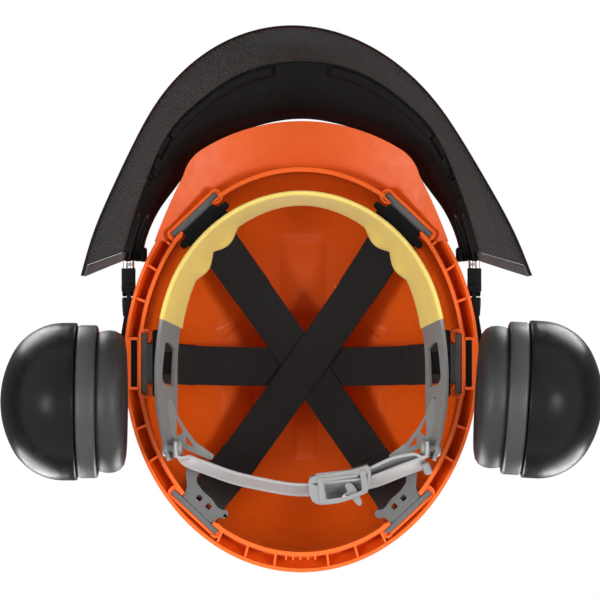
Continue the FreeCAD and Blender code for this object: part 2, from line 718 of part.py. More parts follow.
fork_inner = eye_inner - v.fork_gap - v.fork_wall
fork_outer = eye_inner + v.eye_wall + v.fork_gap + v.fork_wall
for name, side in SIDES:
    carved(f"visor_knuckle_{name}", knuckle_shape(side))
    pin = doc.addObject("Part::Cylinder", f"visor_pin_{name}")
    pin.setExpression("Radius", "sizes.pivot_pin_radius")
    pin.setExpression("Height", "sizes.eye_wall + 2 * sizes.fork_gap + 2 * sizes.fork_wall")
    start = Vector(fork_inner if side > 0 else -fork_outer, v.pivot_y, v.pivot_z)
    pin.Placement = Placement(start, Rotation(Vector(0, 1, 0), 90))
    keep(pin, f"visor_pin_{name}")
    rods = []
    for x in (fork_inner + v.clip_inset, fork_outer - v.clip_inset):
        rods.append(rod(v.clip_radius, Vector(side * x, v.pivot_y - v.clip_start, v.pivot_z),
                        Vector(side * x, v.frame_foot_y + 0.1, v.pivot_z)))
    tie = block((side * (fork_inner + v.clip_inset), side * (fork_outer - v.clip_inset)),
                (v.frame_foot_y + 1.2, v.frame_foot_y + 1.2 + v.clip_tie),
                (v.pivot_z - v.clip_radius, v.pivot_z + v.clip_radius))
    carved(f"visor_clip_{name}", rods[0].fuse([rods[1], tie]))


# ---------------------------------------------------------------- ear muffs

def bail_points(side):
    front = [(leg_x, v.cup_y - v.leg_spread, v.bail_end),
             (leg_x, v.cup_y - v.leg_spread, v.bail_top),
             (bail_x + 13, v.bail_front + 8, v.bail_top),
             (bail_x, v.bail_front, v.bail_z)]
    rear = [(bail_x, v.bail_rear, v.bail_z), (bail_x + 13, v.bail_rear + 4, v.bail_top),
            (leg_x, v.cup_y + v.leg_spread, v.bail_top),
            (leg_x, v.cup_y + v.leg_spread, v.bail_end)]
    return [mirrored(p, side) for p in front + rear]


def slider_shape(side):
    """A block on the bail's two legs, with two ears for the cup's pin."""
    half = v.slider_half
    near = leg_x - v.slider_depth / 2
    far = leg_x + v.slider_depth / 2
    base = v.slider_base
    top = base + v.slider_height
    shape = block((near, far), (v.cup_y - half, v.cup_y + half), (base, top))
    for sign in (-1, 1):
        ear = block((near + 1, far - 1), (v.cup_y + sign * (v.lug_half + v.ear_gap),
                    v.cup_y + sign * (half - v.ear_inset)), (v.cup_pin_z - v.ear_low, base))
        shape = shape.fuse(ear)
    for sign in (-1, 1):
        y = v.cup_y + sign * v.leg_spread
        shape = shape.cut(rod(v.bail_radius + v.pin_play, Vector(leg_x, y, v.bail_end - 0.2),
                              Vector(leg_x, y, top + 1)))
    shape = shape.cut(rod(v.cup_pin_radius, Vector(leg_x, v.cup_y - half, v.cup_pin_z),
                          Vector(leg_x, v.cup_y + half, v.cup_pin_z)))
    return shape if side > 0 else shape.mirror(Vector(0, 0, 0), Vector(1, 0, 0))


def cup_profile(wall, base):
    """The cup's outline, wall in from its outside, from its mouth to its pole."""
    full = v.cup_radius - wall
    tall = v.cup_depth - wall
    mouth = (full, base)
    side_end = (full, base + 8.8)
    corner = (full * 0.865, base + tall * 0.61)
    brow = (full * 0.583, base + tall * 0.855)
    pole = (0, base + tall)
    cap_rise = pole[1] - brow[1]
    cap_radius = (brow[0] ** 2 + cap_rise ** 2) / (2 * cap_rise)
    half_turn = math.asin(brow[0] / cap_radius) / 2
    cheek = (cap_radius * math.sin(half_turn),
             pole[1] - cap_radius * (1 - math.cos(half_turn)))
    return mouth, [line(mouth, side_end), arc(side_end, corner, brow), arc(brow, cheek, pole)]


def cup_shape(side):
    base = v.cushion_depth + v.ring_depth
    outer_mouth, outer = cup_profile(0.0, base)
    inner_mouth, inner = cup_profile(v.cup_wall, base)
    pole = (0, base + v.cup_depth)
    inner_pole = (0, base + v.cup_depth - v.cup_wall)
    dome = turned(outer + inner + [line(inner_mouth, outer_mouth), line(inner_pole, pole)])
    dome.Placement = Placement(Vector(cup_face, v.cup_y, v.cup_z),
                               Rotation(Vector(0, 1, 0), 90))
    lug_radius = v.lug_thick / 2
    lug = block((leg_x - lug_radius, leg_x + lug_radius),
                (v.cup_y - v.lug_half, v.cup_y + v.lug_half),
                (v.cup_z + v.cup_radius - 7, v.cup_pin_z))
    knob = rod(lug_radius, Vector(leg_x, v.cup_y - v.lug_half, v.cup_pin_z),
               Vector(leg_x, v.cup_y + v.lug_half, v.cup_pin_z))
    bore = rod(v.cup_pin_radius + v.pin_play,
               Vector(leg_x, v.cup_y - v.lug_half - 1, v.cup_pin_z),
               Vector(leg_x, v.cup_y + v.lug_half + 1, v.cup_pin_z))
    shape = dome.fuse([lug, knob]).cut(bore)
    return shape if side > 0 else shape.mirror(Vector(0, 0, 0), Vector(1, 0, 0))


for name, side in SIDES:
    seat = Placement(Vector(side * cup_face, v.cup_y, v.cup_z),
                     Rotation(Vector(0, 1, 0), side * 90))
    carved(f"bail_{name}", wire_bent(bail_points(side), v.bail_bend, v.bail_radius))
    carved(f"slider_{name}", slider_shape(side))
    pin = doc.addObject("Part::Cylinder", f"cup_pin_{name}")
    pin.setExpression("Radius", "sizes.cup_pin_radius")
    pin.setExpression("Height", "2 * (sizes.slider_half - sizes.ear_inset)")
    pin.Placement = Placement(Vector(side * leg_x, v.cup_y + v.slider_half - v.ear_inset,
                                     v.cup_pin_z), Rotation(Vector(1, 0, 0), 90))
    keep(pin, f"cup_pin_{name}")
    carved(f"cup_{name}", cup_shape(side))
    ring = turned_ring(f"cup_ring_{name}", "sizes.ring_radius - sizes.ring_wall",
                       "sizes.ring_radius", "sizes.cushion_depth",
                       "sizes.cushion_depth + sizes.ring_depth")
    ring.Placement = seat
    cushion = turned_ring(f"cushion_{name}", "sizes.cushion_opening",
                          "sizes.cushion_radius", "0", "sizes.cushion_depth",
                          "sizes.cushion_round")
    cushion.Placement = seat
    foam = doc.addObject("Part::Cylinder", f"cup_foam_{name}")
    foam.setExpression("Radius", "sizes.ring_radius - sizes.ring_wall")
    foam.setExpression("Height", "sizes.foam_depth")
    foam.Placement = seat.multiply(Placement(Vector(0, 0, v.cushion_depth), Rotation()))
    keep(foam, f"cup_foam_{name}")


# ---------------------------------------------------------------- nape strap and buckle

def upright(points, height):
    return smooth([(x, y, height) for x, y in points])


def nape_strip(points, count=15):
    return strip(upright(points, v.nape_low), upright(points, v.nape_high), v.nape_wall, count)


buckle_place = Placement(Vector(v.buckle_x, v.buckle_y, 0), Rotation(UP, v.buckle_turn))
half_buckle = v.buckle_length / 2


def at_buckle(x, y):
    spot = buckle_place.multVec(Vector(x, y, 0))
    return (spot.x, spot.y)


right_arm = [(-v.nape_x, v.nape_y - 7), (-v.nape_x, v.nape_y), (-v.nape_x + 1.8, v.nape_y + 7),
             (-63, 63), (-45, 69.5),
             (-24, 74.5), at_buckle(-half_buckle, v.outer_lane), at_buckle(0, v.outer_lane),
             at_buckle(half_buckle, v.outer_lane), (60, 69.5), (77, 63.5)]
left_arm = [at_buckle(-half_buckle + 6, v.inner_lane), at_buckle(0, v.inner_lane),
            at_buckle(half_buckle, v.inner_lane), (62, 60), (v.nape_x - 1.8, v.nape_y + 7),
            (v.nape_x, v.nape_y), (v.nape_x, v.nape_y - 7)]
for name, points, count in (("right", right_arm, 27), ("left", left_arm, 17)):
    side = 1 if name == "left" else -1
    strap = nape_strip(points, count)
    if name == "right":
        tip = Vector(points[-1][0], points[-1][1] - v.nape_wall / 2, v.nape_low)
        strap = strap.fuse(rod(v.nape_wall + 0.3, tip, tip + UP * (v.nape_high - v.nape_low)))
    carved(f"nape_strap_{name}", strap.cut(across_rivet(side, v.rivet_radius, -20, 20)))
    near = -v.rivet_in
    far = v.rivet_out
    shank = across_rivet(side, v.rivet_radius, near + 0.5, far + 1)
    outer_head = across_rivet(side, v.rivet_head, far, far + v.rivet_cap)
    inner_head = across_rivet(side, v.rivet_head, near, near + v.rivet_cap)
    carved(f"nape_rivet_{name}", shank.fuse([outer_head, inner_head]))


def buckle_shape():
    half = v.buckle_depth / 2
    shape = block((-half_buckle, half_buckle), (-half, half), (v.buckle_low, v.buckle_high))
    low = v.nape_low - v.strap_play
    high = v.nape_high + v.strap_play
    for lane in (v.outer_lane, v.inner_lane):
        across = (lane - v.nape_wall - v.lane_play, lane + v.lane_play)
        shape = shape.cut(block((-v.buckle_length, v.buckle_length), across, (low, high)))
    window = block((v.lever_x - 10, v.lever_x + 12), (v.outer_lane + v.strap_play, half + 1),
                   (low, high))
    bore = rod(v.lever_pin_radius, Vector(v.lever_x, v.lever_y, v.buckle_low - 1),
               Vector(v.lever_x, v.lever_y, v.buckle_high + 1))
    return shape.cut([window, bore])


def lever_shape():
    """A barrel on the pin, an arm that leans out of the buckle and a thumb roll."""
    low = v.nape_low + 1
    high = v.nape_high - 1
    arm = block((0, v.lever_length), (-v.lever_wall / 2, v.lever_wall / 2), (low, high))
    barrel = rod(v.lever_barrel, Vector(0, 0, low), Vector(0, 0, high))
    roll = rod(v.lever_roll, Vector(v.lever_length, 0, low), Vector(v.lever_length, 0, high))
    lever = arm.fuse([barrel, roll])
    lever.rotate(Vector(0, 0, 0), UP, v.lever_lean)
    clear = block((-v.lever_length, v.lever_length), (-v.lever_length, -v.lever_barrel),
                  (low - 1, high + 1))
    bore = rod(v.lever_pin_radius + v.pin_play, Vector(0, 0, low - 1), Vector(0, 0, high + 1))
    return lever.cut([clear, bore])


carved("buckle", buckle_shape(), buckle_place)
lever_place = buckle_place.multiply(Placement(Vector(v.lever_x, v.lever_y, 0), Rotation()))
carved("buckle_lever", lever_shape(), lever_place)
pin = doc.addObject("Part::Cylinder", "lever_pin")
pin.setExpression("Radius", "sizes.lever_pin_radius")
pin.setExpression("Height", "sizes.buckle_high - sizes.buckle_low")
pin.Placement = lever_place.multiply(Placement(Vector(0, 0, v.buckle_low), Rotation()))
keep(pin, "lever_pin")

# ---------------------------------------------------------------- writing

doc.recompute()
failed = [o.Name for o in doc.Objects if "Invalid" in o.State or "Error" in o.State]
for piece in pieces:
    if piece.Shape.isNull() or not piece.Shape.isValid():
        failed.append(piece.Label)
if failed:
    raise RuntimeError("failed: " + ", ".join(failed))
os.makedirs("parts", exist_ok=True)
for piece in pieces:
    shape = piece.Shape
    print(piece.Label, len(shape.Solids), round(shape.Volume, 1))
    shape.exportStep(os.path.join("parts", piece.Label + ".step"))
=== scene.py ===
from math import asin, ceil, cos, exp, hypot, pi, radians, sin
import bmesh
import bpy
import numpy as np
from mathutils import Matrix, Vector
from mathutils.geometry import delaunay_2d_cdt
from numpy.linalg import norm, solve
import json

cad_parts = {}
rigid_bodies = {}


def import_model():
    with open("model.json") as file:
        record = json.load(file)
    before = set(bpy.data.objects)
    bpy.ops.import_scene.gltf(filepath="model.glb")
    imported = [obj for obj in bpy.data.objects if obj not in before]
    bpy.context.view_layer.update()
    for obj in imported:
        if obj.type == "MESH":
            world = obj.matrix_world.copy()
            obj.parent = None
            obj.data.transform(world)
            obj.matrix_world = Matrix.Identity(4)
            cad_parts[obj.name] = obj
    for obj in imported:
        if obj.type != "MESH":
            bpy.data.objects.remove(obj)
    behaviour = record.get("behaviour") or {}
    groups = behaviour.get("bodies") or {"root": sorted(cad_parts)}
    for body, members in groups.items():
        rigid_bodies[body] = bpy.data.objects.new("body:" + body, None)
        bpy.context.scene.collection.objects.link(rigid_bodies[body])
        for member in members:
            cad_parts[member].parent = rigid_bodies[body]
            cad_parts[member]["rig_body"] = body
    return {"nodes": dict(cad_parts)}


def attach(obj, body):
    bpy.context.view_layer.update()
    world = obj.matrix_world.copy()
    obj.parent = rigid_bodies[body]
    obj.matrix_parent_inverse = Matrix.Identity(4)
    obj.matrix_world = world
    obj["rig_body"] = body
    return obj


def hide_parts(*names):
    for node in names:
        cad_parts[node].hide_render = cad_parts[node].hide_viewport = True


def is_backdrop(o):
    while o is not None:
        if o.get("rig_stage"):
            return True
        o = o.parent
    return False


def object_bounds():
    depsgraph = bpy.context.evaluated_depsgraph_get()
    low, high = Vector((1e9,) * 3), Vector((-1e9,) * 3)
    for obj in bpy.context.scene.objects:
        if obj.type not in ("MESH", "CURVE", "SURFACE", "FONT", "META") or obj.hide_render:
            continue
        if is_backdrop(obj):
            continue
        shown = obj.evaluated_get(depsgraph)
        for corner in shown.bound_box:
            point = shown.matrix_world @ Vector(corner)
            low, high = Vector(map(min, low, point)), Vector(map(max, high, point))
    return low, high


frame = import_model()
cad_low, cad_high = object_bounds()

MM = 0.001
SIDES = (("left", 1), ("right", -1))
UP = np.array([0.0, 0.0, 1.0])

# ---- camera, light, stage

scene = bpy.context.scene
scene.view_settings.view_transform = "Standard"


def linked(name, data):
    """A new object in the scene."""
    made = bpy.data.objects.new(name, data)
    scene.collection.objects.link(made)
    return made


def fill(node, **sockets):
    """Sets a node's sockets by name."""
    for name, value in sockets.items():
        node.inputs[name.replace("_", " ")].default_value = value
    return node


def make_camera():
    """Looks straight up into the hat from below, with the peak at the top of the picture."""
    distance = 2.5
    breadth = 0.3732
    beside, ahead = -0.0009, -0.0435
    camera = linked("camera", bpy.data.cameras.new("camera"))
    camera.data.lens = camera.data.sensor_width * distance / breadth
    camera.data.clip_end = 50
    camera.location = (beside, ahead, -distance)
    camera.rotation_euler = (pi, 0, 0)
    scene.camera = camera


def area_lamp(name, place, size, power):
    """A round soft light that faces the origin."""
    lamp = linked(name, bpy.data.lights.new(name, "AREA"))
    lamp.data.shape = "DISK"
    lamp.data.size = size
    lamp.data.energy = power
    lamp.location = place
    lamp.rotation_euler = (-Vector(place)).to_track_quat("-Z", "Y").to_euler()


def mix_shaders(tree, share, first, second, output):
    """Shows the second shader where the share is one, and the first where it is nought."""
    mix = tree.nodes.new("ShaderNodeMixShader")
    for slot, source in enumerate((share, first.outputs[0], second.outputs[0])):
        tree.links.new(source, mix.inputs[slot])
    tree.links.new(mix.outputs[0], tree.nodes[output].inputs["Surface"])


def make_world():
    """An even pale world that shows white to the camera."""
    world = bpy.data.worlds.new("world")
    scene.world = world
    world.use_nodes = True
    nodes = world.node_tree.nodes
    light = fill(nodes["Background"], Color=(0.95, 0.97, 1.0, 1), Strength=0.17)
    seen = fill(nodes.new("ShaderNodeBackground"), Color=(1, 1, 1, 1))
    path = nodes.new("ShaderNodeLightPath")
    mix_shaders(world.node_tree, path.outputs["Is Camera Ray"], light, seen, "World Output")


def make_floor():
    """A pale floor just under the visor's hem, clear when seen from underneath."""
    mesh = bpy.data.meshes.new("floor")
    half, gap = 6.0, 0.001
    low = cad_low.z - gap
    corners = [(x * half, y * half, low) for x, y in ((-1, -1), (1, -1), (1, 1), (-1, 1))]
    mesh.from_pydata(corners, [], [(0, 1, 2, 3)])
    floor = linked("floor", mesh)
    paint = bpy.data.materials.new("floor")
    paint.use_nodes = True
    nodes = paint.node_tree.nodes
    shader = fill(nodes["Principled BSDF"], Base_Color=(0.86, 0.86, 0.85, 1), Roughness=0.9)
    clear = nodes.new("ShaderNodeBsdfTransparent")
    facing = nodes.new("ShaderNodeNewGeometry")
    mix_shaders(paint.node_tree, facing.outputs["Backfacing"], shader, clear, "Material Output")
    mesh.materials.append(paint)
    floor.visible_shadow = False
    floor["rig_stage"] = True


make_camera()
make_world()
make_floor()
for name, side in SIDES:
    area_lamp(f"soft_below_{name}", (side * 1.35, 0.1, -2.15), 0.6, 25)
    area_lamp(f"soft_front_{name}", (side * 1.1, -1.6, 1.7), 1.6, 52)
    area_lamp(f"soft_rear_{name}", (side * 1.1, 1.6, 1.7), 1.6, 52)

# ---- materials


class Paint:
    """A Principled material with helpers for its procedural nodes."""

    def __init__(self, name, colour, roughness, **sockets):
        self.name = name
        self.material = bpy.data.materials.new(name)
        self.material.use_nodes = True
        self.nodes = self.material.node_tree.nodes
        self.links = self.material.node_tree.links
        self.shader = self.nodes["Principled BSDF"]
        self.colour = (*colour, 1)
        fill(self.shader, Base_Color=self.colour, Roughness=roughness, **sockets)
        self.place = self.nodes.new("ShaderNodeTexCoord")
        self.normal = None

    def texture(self, kind, output, stretch=None, **sockets):
        """A texture in the object's own metres; stretch squeezes it along an axis."""
        made = fill(self.nodes.new(kind), **sockets)
        source = self.place.outputs["Object"]
        if stretch:
            mapping = fill(self.nodes.new("ShaderNodeMapping"), Scale=stretch)
            self.links.new(source, mapping.inputs["Vector"])
            source = mapping.outputs["Vector"]
        self.links.new(source, made.inputs["Vector"])
        return made.outputs[output]

    def noise(self, scale, detail, stretch=None):
        return self.texture("ShaderNodeTexNoise", "Fac", stretch, Scale=scale, Detail=detail)

    def cells(self, scale):
        return self.texture("ShaderNodeTexVoronoi", "Distance", Scale=scale)

    def ramp(self, source, low, high, start=0.3, end=0.7):
        """Maps a grey value to a range."""
        made = fill(self.nodes.new("ShaderNodeMapRange"), From_Min=start, From_Max=end,
                    To_Min=low, To_Max=high)
        self.links.new(source, made.inputs["Value"])
        return made.outputs["Result"]

    def math(self, operation, first, second=None):
        made = self.nodes.new("ShaderNodeMath")
        made.operation = operation
        self.links.new(first, made.inputs[0])
        if isinstance(second, (int, float)):
            made.inputs[1].default_value = second
        elif second:
            self.links.new(second, made.inputs[1])
        return made.outputs[0]

    def mottle(self, scale, detail, most, other):
        """Patches in which the base colour goes part of the way to another."""
        self.tint(self.ramp(self.noise(scale, detail), 0.0, most), other)

    def tint(self, source, other):
        """Mixes the base colour towards another by a grey value."""
        mix = self.nodes.new("ShaderNodeMix")
        mix.data_type = "RGBA"
        mix.inputs[6].default_value = self.colour
        mix.inputs[7].default_value = (*other, 1)
        self.links.new(source, mix.inputs[0])
        self.links.new(mix.outputs[2], self.shader.inputs["Base Color"])

    def roughen(self, source, low, high):
        self.links.new(self.ramp(source, low, high), self.shader.inputs["Roughness"])

    def bump(self, source, depth, strength=1.0):
        """Raises the surface by depth millimetres where the source is white."""
        made = fill(self.nodes.new("ShaderNodeBump"), Distance=depth * MM, Strength=strength)
        self.links.new(source, made.inputs["Height"])
        if self.normal:
            self.links.new(self.normal, made.inputs["Normal"])
        self.face(made)

    def round_edges(self, radius):
        """Softens the light on sharp edges, as moulding does."""
        made = fill(self.nodes.new("ShaderNodeBevel"), Radius=radius * MM)
        made.samples = 4
        self.face(made)

    def face(self, node):
        """Lights the surface by a node's normal."""
        self.normal = node.outputs["Normal"]
        self.links.new(self.normal, self.shader.inputs["Normal"])

    def along_across(self):
        """The coordinates of a tape, in metres."""
        made = self.nodes.new("ShaderNodeSeparateXYZ")
        self.links.new(self.place.outputs["UV"], made.inputs[0])
        return made.outputs[:2]


def plastic(name, colour, worn, roughness, grain=0.02, shine=0.5, edge=0.5, **sockets):
    """Moulded plastic: faint mottling, fine grain and rounded edges."""
    paint = Paint(name, colour, roughness, Specular_IOR_Level=shine, **sockets)
    paint.round_edges(edge)
    paint.mottle(35, 4, 0.5, worn)
    paint.roughen(paint.noise(120, 5), roughness * 0.85, roughness * 1.25)
    if grain:
        paint.bump(paint.noise(1400, 2), grain)
    return paint


def make_webbing():
    """Black woven tape: fine herringbone ribs across its width."""
    rib, thread, zigzag = 0.0011, 0.0008, 0.0032
    paint = Paint("webbing_black", (0.009, 0.009, 0.009), 0.8, Specular_IOR_Level=0.2,
                  Sheen_Weight=0.04, Sheen_Roughness=0.5)
    along, across = paint.along_across()
    zig = paint.math("PINGPONG", across, zigzag)
    slant = paint.math("ADD", along, zig)
    ribs, threads = (paint.math("SINE", paint.math("MULTIPLY", way, 2 * pi / pitch))
                     for way, pitch in ((slant, rib), (across, thread)))
    weave = paint.math("ADD", ribs, paint.math("MULTIPLY", threads, 0.5))
    level = paint.ramp(weave, 0.0, 1.0, -1.5, 1.5)
    paint.tint(paint.math("MULTIPLY", level, 0.8), (0.022, 0.022, 0.023))
    paint.bump(level, 0.22, 0.8)
    return paint


def make_leather():
    """Pale yellow sweatband: soft hide, grained and a little uneven."""
    paint = Paint("sweatband_yellow", (0.78, 0.61, 0.14), 0.6, Sheen_Weight=0.2)
    paint.mottle(60, 5, 0.6, (0.71, 0.53, 0.125))
    paint.bump(paint.cells(900), 0.12, 0.6)
    paint.bump(paint.noise(160, 4), 0.5, 0.5)
    return paint


def make_cushion():
    """The ear cushion's smooth skin, with a fine grain."""
    paint = Paint("cushion_black", (0.018, 0.018, 0.019), 0.46, Specular_IOR_Level=0.35)
    paint.mottle(45, 4, 0.7, (0.03, 0.03, 0.031))
    paint.bump(paint.cells(1300), 0.08, 0.5)
    paint.bump(paint.noise(90, 3), 0.6, 0.4)
    return paint


def make_foam():
    """Open foam with visible cells."""
    paint = Paint("foam_grey", (0.05, 0.05, 0.055), 0.95)
    cells = paint.cells(700)
    paint.tint(cells, (0.1, 0.1, 0.11))
    paint.bump(cells, 0.8)
    return paint


def make_steel():
    """Wire and pins: drawn steel, brushed along its length."""
    paint = Paint("steel", (0.62, 0.62, 0.63), 0.24, Metallic=1.0)
    brushed = paint.noise(900, 3, (0.05, 1.0, 1.0))
    paint.roughen(brushed, 0.16, 0.34)
    paint.mottle(200, 4, 0.5, (0.45, 0.45, 0.46))
    paint.bump(brushed, 0.01)
    return paint


PAINTS = {paint.name: paint.material for paint in (
    plastic("shell_orange", (0.77, 0.108, 0.006), (0.7, 0.092, 0.005), 0.44, 0.0, 0.24, 0.4,
            Coat_Weight=0.08, Coat_Roughness=0.25),
    plastic("suspension_grey", (0.085, 0.088, 0.088), (0.07, 0.073, 0.073), 0.42),
    plastic("headband_grey", (0.215, 0.22, 0.22), (0.185, 0.19, 0.19), 0.42),
    plastic("strap_grey", (0.315, 0.315, 0.32), (0.275, 0.275, 0.28), 0.4),
    plastic("moulding_black", (0.005, 0.005, 0.0055), (0.008, 0.008, 0.009), 0.29, shine=0.11),
    # cup ring: partly its own duller black, partly a painted highlight; the base colour is made
    # lighter to stand in for the light its flat band reflects from below
    plastic("ring_black_painted_highlight", (0.028, 0.028, 0.029), (0.045, 0.045, 0.046), 0.42, 0.04, 0.4),
    plastic("trim_grey", (0.075, 0.078, 0.082), (0.13, 0.135, 0.14), 0.62, shine=0.12),
    plastic("visor_mesh", (0.04, 0.04, 0.041), (0.052, 0.052, 0.053), 0.6, 0.0, 0.25),
    make_webbing(), make_leather(), make_cushion(), make_foam(), make_steel())}

# ---- mesh helpers


def unit(rows):
    """Each direction at a length of one."""
    return rows / norm(rows, axis=-1, keepdims=True)


def lengths_along(points):
    """How far along a line each of its points lies."""
    steps = norm(np.diff(points, axis=0), axis=1)
    return np.concatenate([[0], np.cumsum(steps)])


def heading(rail, share):
    """Which way a curve runs at a share of its length."""
    return rail(np.minimum(1, share + 0.01)) - rail(np.maximum(0, share - 0.01))


def placed(x, y, z, turn=0.0):
    """A place in millimetres, with a turn in degrees about the upright."""
    return Matrix.Translation(Vector((x, y, z)) * MM) @ Matrix.Rotation(
        radians(turn), 4, "Z")


def smooth(points):
    """A natural cubic curve through points, as a function of shares from 0 to 1."""
    p = np.array(points, float)
    knots = lengths_along(p)
    steps = np.diff(knots)
    count = len(p)
    system = np.zeros((count, count))
    right = np.zeros((count, 3))
    system[0, 0] = system[-1, -1] = 1
    for i in range(1, count - 1):
        before, after = steps[i - 1], steps[i]
        system[i, i - 1:i + 2] = before, 2 * (before + after), after
        right[i] = 6 * ((p[i + 1] - p[i]) / after - (p[i] - p[i - 1]) / before)
    bend = solve(system, right)

    def at(share):
        way = np.clip(np.asarray(share, float), 0, 1) * knots[-1]
        i = np.clip(np.searchsorted(knots, way, side="right") - 1, 0, count - 2)
        span = steps[i]
        a = ((knots[i + 1] - way) / span)[..., None]
        b = ((way - knots[i]) / span)[..., None]
        span = span[..., None]
        curve = a * p[i] + b * p[i + 1]
        return curve + ((a ** 3 - a) * bend[i] + (b ** 3 - b) * bend[i + 1]) * span ** 2 / 6

    return at


def dress(mesh, paint, sharp):
    """Gives a mesh its paint, and smooth shading up to an angle."""
    mesh.materials.clear()
    mesh.materials.append(PAINTS[paint])
    mesh.set_sharp_from_angle(angle=radians(sharp))
    mesh.polygons.foreach_set("use_smooth", [True] * len(mesh.polygons))


def finish_piece(name, mesh, body, slot, nodes=(), bevel=0.0, sharp=40, paint=None):
    """Links a mesh, gives it its paint, and makes it ride on a body."""
    mesh.name = name
    piece = linked(name, mesh)
    dress(mesh, paint or slot, sharp)
    if bevel:
        rounding = piece.modifiers.new("rounding", "BEVEL")
        rounding.width = bevel * MM
        rounding.segments = 3
        rounding.limit_method = "ANGLE"
        rounding.angle_limit = radians(35)
    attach(piece, body)
    if nodes:
        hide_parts(*nodes)
    return piece


def reworked(mesh, rework):
    """Opens a mesh for editing, reworks it and writes it back."""
    shape = bmesh.new()
    shape.from_mesh(mesh)
    rework(shape)
    shape.to_mesh(mesh)
    shape.free()
    return mesh


def face_outwards(shape):
    bmesh.ops.recalc_face_normals(shape, faces=shape.faces)


def weld(shape):
    bmesh.ops.remove_doubles(shape, verts=shape.verts, dist=1e-6)
    face_outwards(shape)


def flatten(shape):
    """Takes out the edges that only divide a flat face."""
    bmesh.ops.remove_doubles(shape, verts=shape.verts, dist=2e-6)
    bmesh.ops.dissolve_limit(shape, angle_limit=radians(1.5), verts=shape.verts,
                             edges=shape.edges)


def tidy_mesh(verts, faces, uvs=None):
    """A mesh in metres from millimetre points, with its normals outwards."""
    mesh = bpy.data.meshes.new("piece")
    points = np.asarray(verts, float).reshape(-1, 3) * MM
    mesh.from_pydata(points.tolist(), [], faces)
    if uvs is not None:
        layer = mesh.uv_layers.new(name="UVMap")
        loops = np.empty(len(mesh.loops), int)
        mesh.loops.foreach_get("vertex_index", loops)
        flat = np.asarray(uvs, float).reshape(-1, 2)[loops] * MM
        layer.data.foreach_set("uv", flat.ravel())
    return reworked(mesh, face_outwards)


def ring_faces(rows, ring, base=0, closed=False):
    """Faces between a row of rings of points, capped unless the row closes."""
    faces = []
    for i in range(rows if closed else rows - 1):
        here, there = base + i * ring, base + (i + 1) % rows * ring
        for k in range(ring):
            nxt = (k + 1) % ring
            faces.append((here + k, here + nxt, there + nxt, there + k))
    if not closed:
        last = base + (rows - 1) * ring
        faces.append(tuple(range(base, base + ring)))
        faces.append(tuple(last + k for k in reversed(range(ring))))
    return faces


def sweep(loops, uvs=None, closed=False):
    """Joins a row of closed sections, (stations, points, 3)."""
    loops = np.asarray(loops, float)
    rows, ring = loops.shape[:2]
    return tidy_mesh(loops, ring_faces(rows, ring, closed=closed), uvs)


def flat_section(width, wall, radius, across, arcs=3):
    """A rounded rectangle as (across, out) pairs, across running from 0 to width."""
    radius = min(radius, wall / 2)
    flat = np.linspace(radius, width - radius, across + 2)[1:-1]
    points = []
    for x, y, turn, run in ((radius, radius, 180, [(x, 0.0) for x in flat]),
                            (width - radius, radius, 270, []),
                            (width - radius, wall - radius, 0, [(x, wall) for x in flat[::-1]]),
                            (radius, wall - radius, 90, [])):
        for step in range(arcs + 1):
            angle = radians(turn + 90 * step / arcs)
            points.append((x + radius * cos(angle), y + radius * sin(angle)))
        points += run
    return np.array(points)


def frames_between(low, high, shares):
    """Feet, directions up and outwards, and widths, along a band between two rails."""
    foot = low(shares)
    rise = high(shares) - foot
    width = norm(rise, axis=1)[:, None]
    return foot, rise / width, unit(np.cross(heading(low, shares), rise)), width


def band(name, low, high, wall, body, slot, nodes, count, radius=0.8, relief=None, across=9,
         paint=None):
    """A band between two rails; its wall grows outwards from them."""
    loops = []
    coords = []
    shares = np.linspace(0, 1, count)
    foot, up, out, widths = frames_between(low, high, shares)
    lengths = lengths_along(foot)
    for i, width in enumerate(widths[:, 0]):
        section = flat_section(width, wall, radius, across)
        rise = section[:, 1:]
        if relief:
            raised = relief(shares[i], section[:, 0] / width, section[:, 1] / wall)
            rise = rise + raised[:, None]
        loops.append(foot[i] + section[:, :1] * up[i] + rise * out[i])
        coords.append(np.column_stack([np.full(len(section), lengths[i]), section[:, 0]]))
    return finish_piece(name, sweep(loops, coords), body, slot, nodes, paint=paint)


def lathe(name, profile, centre, side, body, slot, nodes, steps=96, shape=None, yaw=0.0,
          paint=None):
    """Turns (radius, depth) points about the line through a cup, depth growing outwards."""
    radius, depth = np.array(profile, float).T
    turn = radians(yaw)
    loops = []
    for angle in np.linspace(0, 2 * pi, steps, endpoint=False):
        points = np.column_stack([depth, radius * cos(angle), radius * sin(angle)])
        if shape:
            points = shape(points, angle)
        x = points[:, 0] * cos(turn) - points[:, 1] * sin(turn)
        y = points[:, 0] * sin(turn) + points[:, 1] * cos(turn)
        points = np.column_stack([side * x, y, points[:, 2]])
        loops.append(points + np.array(centre))
    mesh = reworked(sweep(loops, closed=True), weld)
    return finish_piece(name, mesh, body, slot, nodes, sharp=50, paint=paint)


def rounded(node, slot, width):
    """A copy of a CAD node with its edges rounded, standing for it."""
    source = frame["nodes"][node]
    mesh = reworked(source.data.copy(), flatten)
    finish_piece(node + "_moulded", mesh, source["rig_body"], slot, [node], bevel=width)


def keep_node(node, slot):
    """A CAD node that shows as it is, with its finish."""
    dress(frame["nodes"][node].data, slot, 32)


def soften(points, radius, steps=4):
    """Rounds the corners of a flat closed outline."""
    points = np.array(points, float)
    soft = []
    for before, corner, after in zip(np.roll(points, 1, axis=0), points,
                                     np.roll(points, -1, axis=0)):
        back = before - corner
        ahead = after - corner
        reach = min(radius, norm(back) * 0.45, norm(ahead) * 0.45)
        start = corner + back / norm(back) * reach
        end = corner + ahead / norm(ahead) * reach
        for k in range(steps + 1):
            t = k / steps
            soft.append((1 - t) ** 2 * start + 2 * t * (1 - t) * corner + t ** 2 * end)
    return np.array(soft)


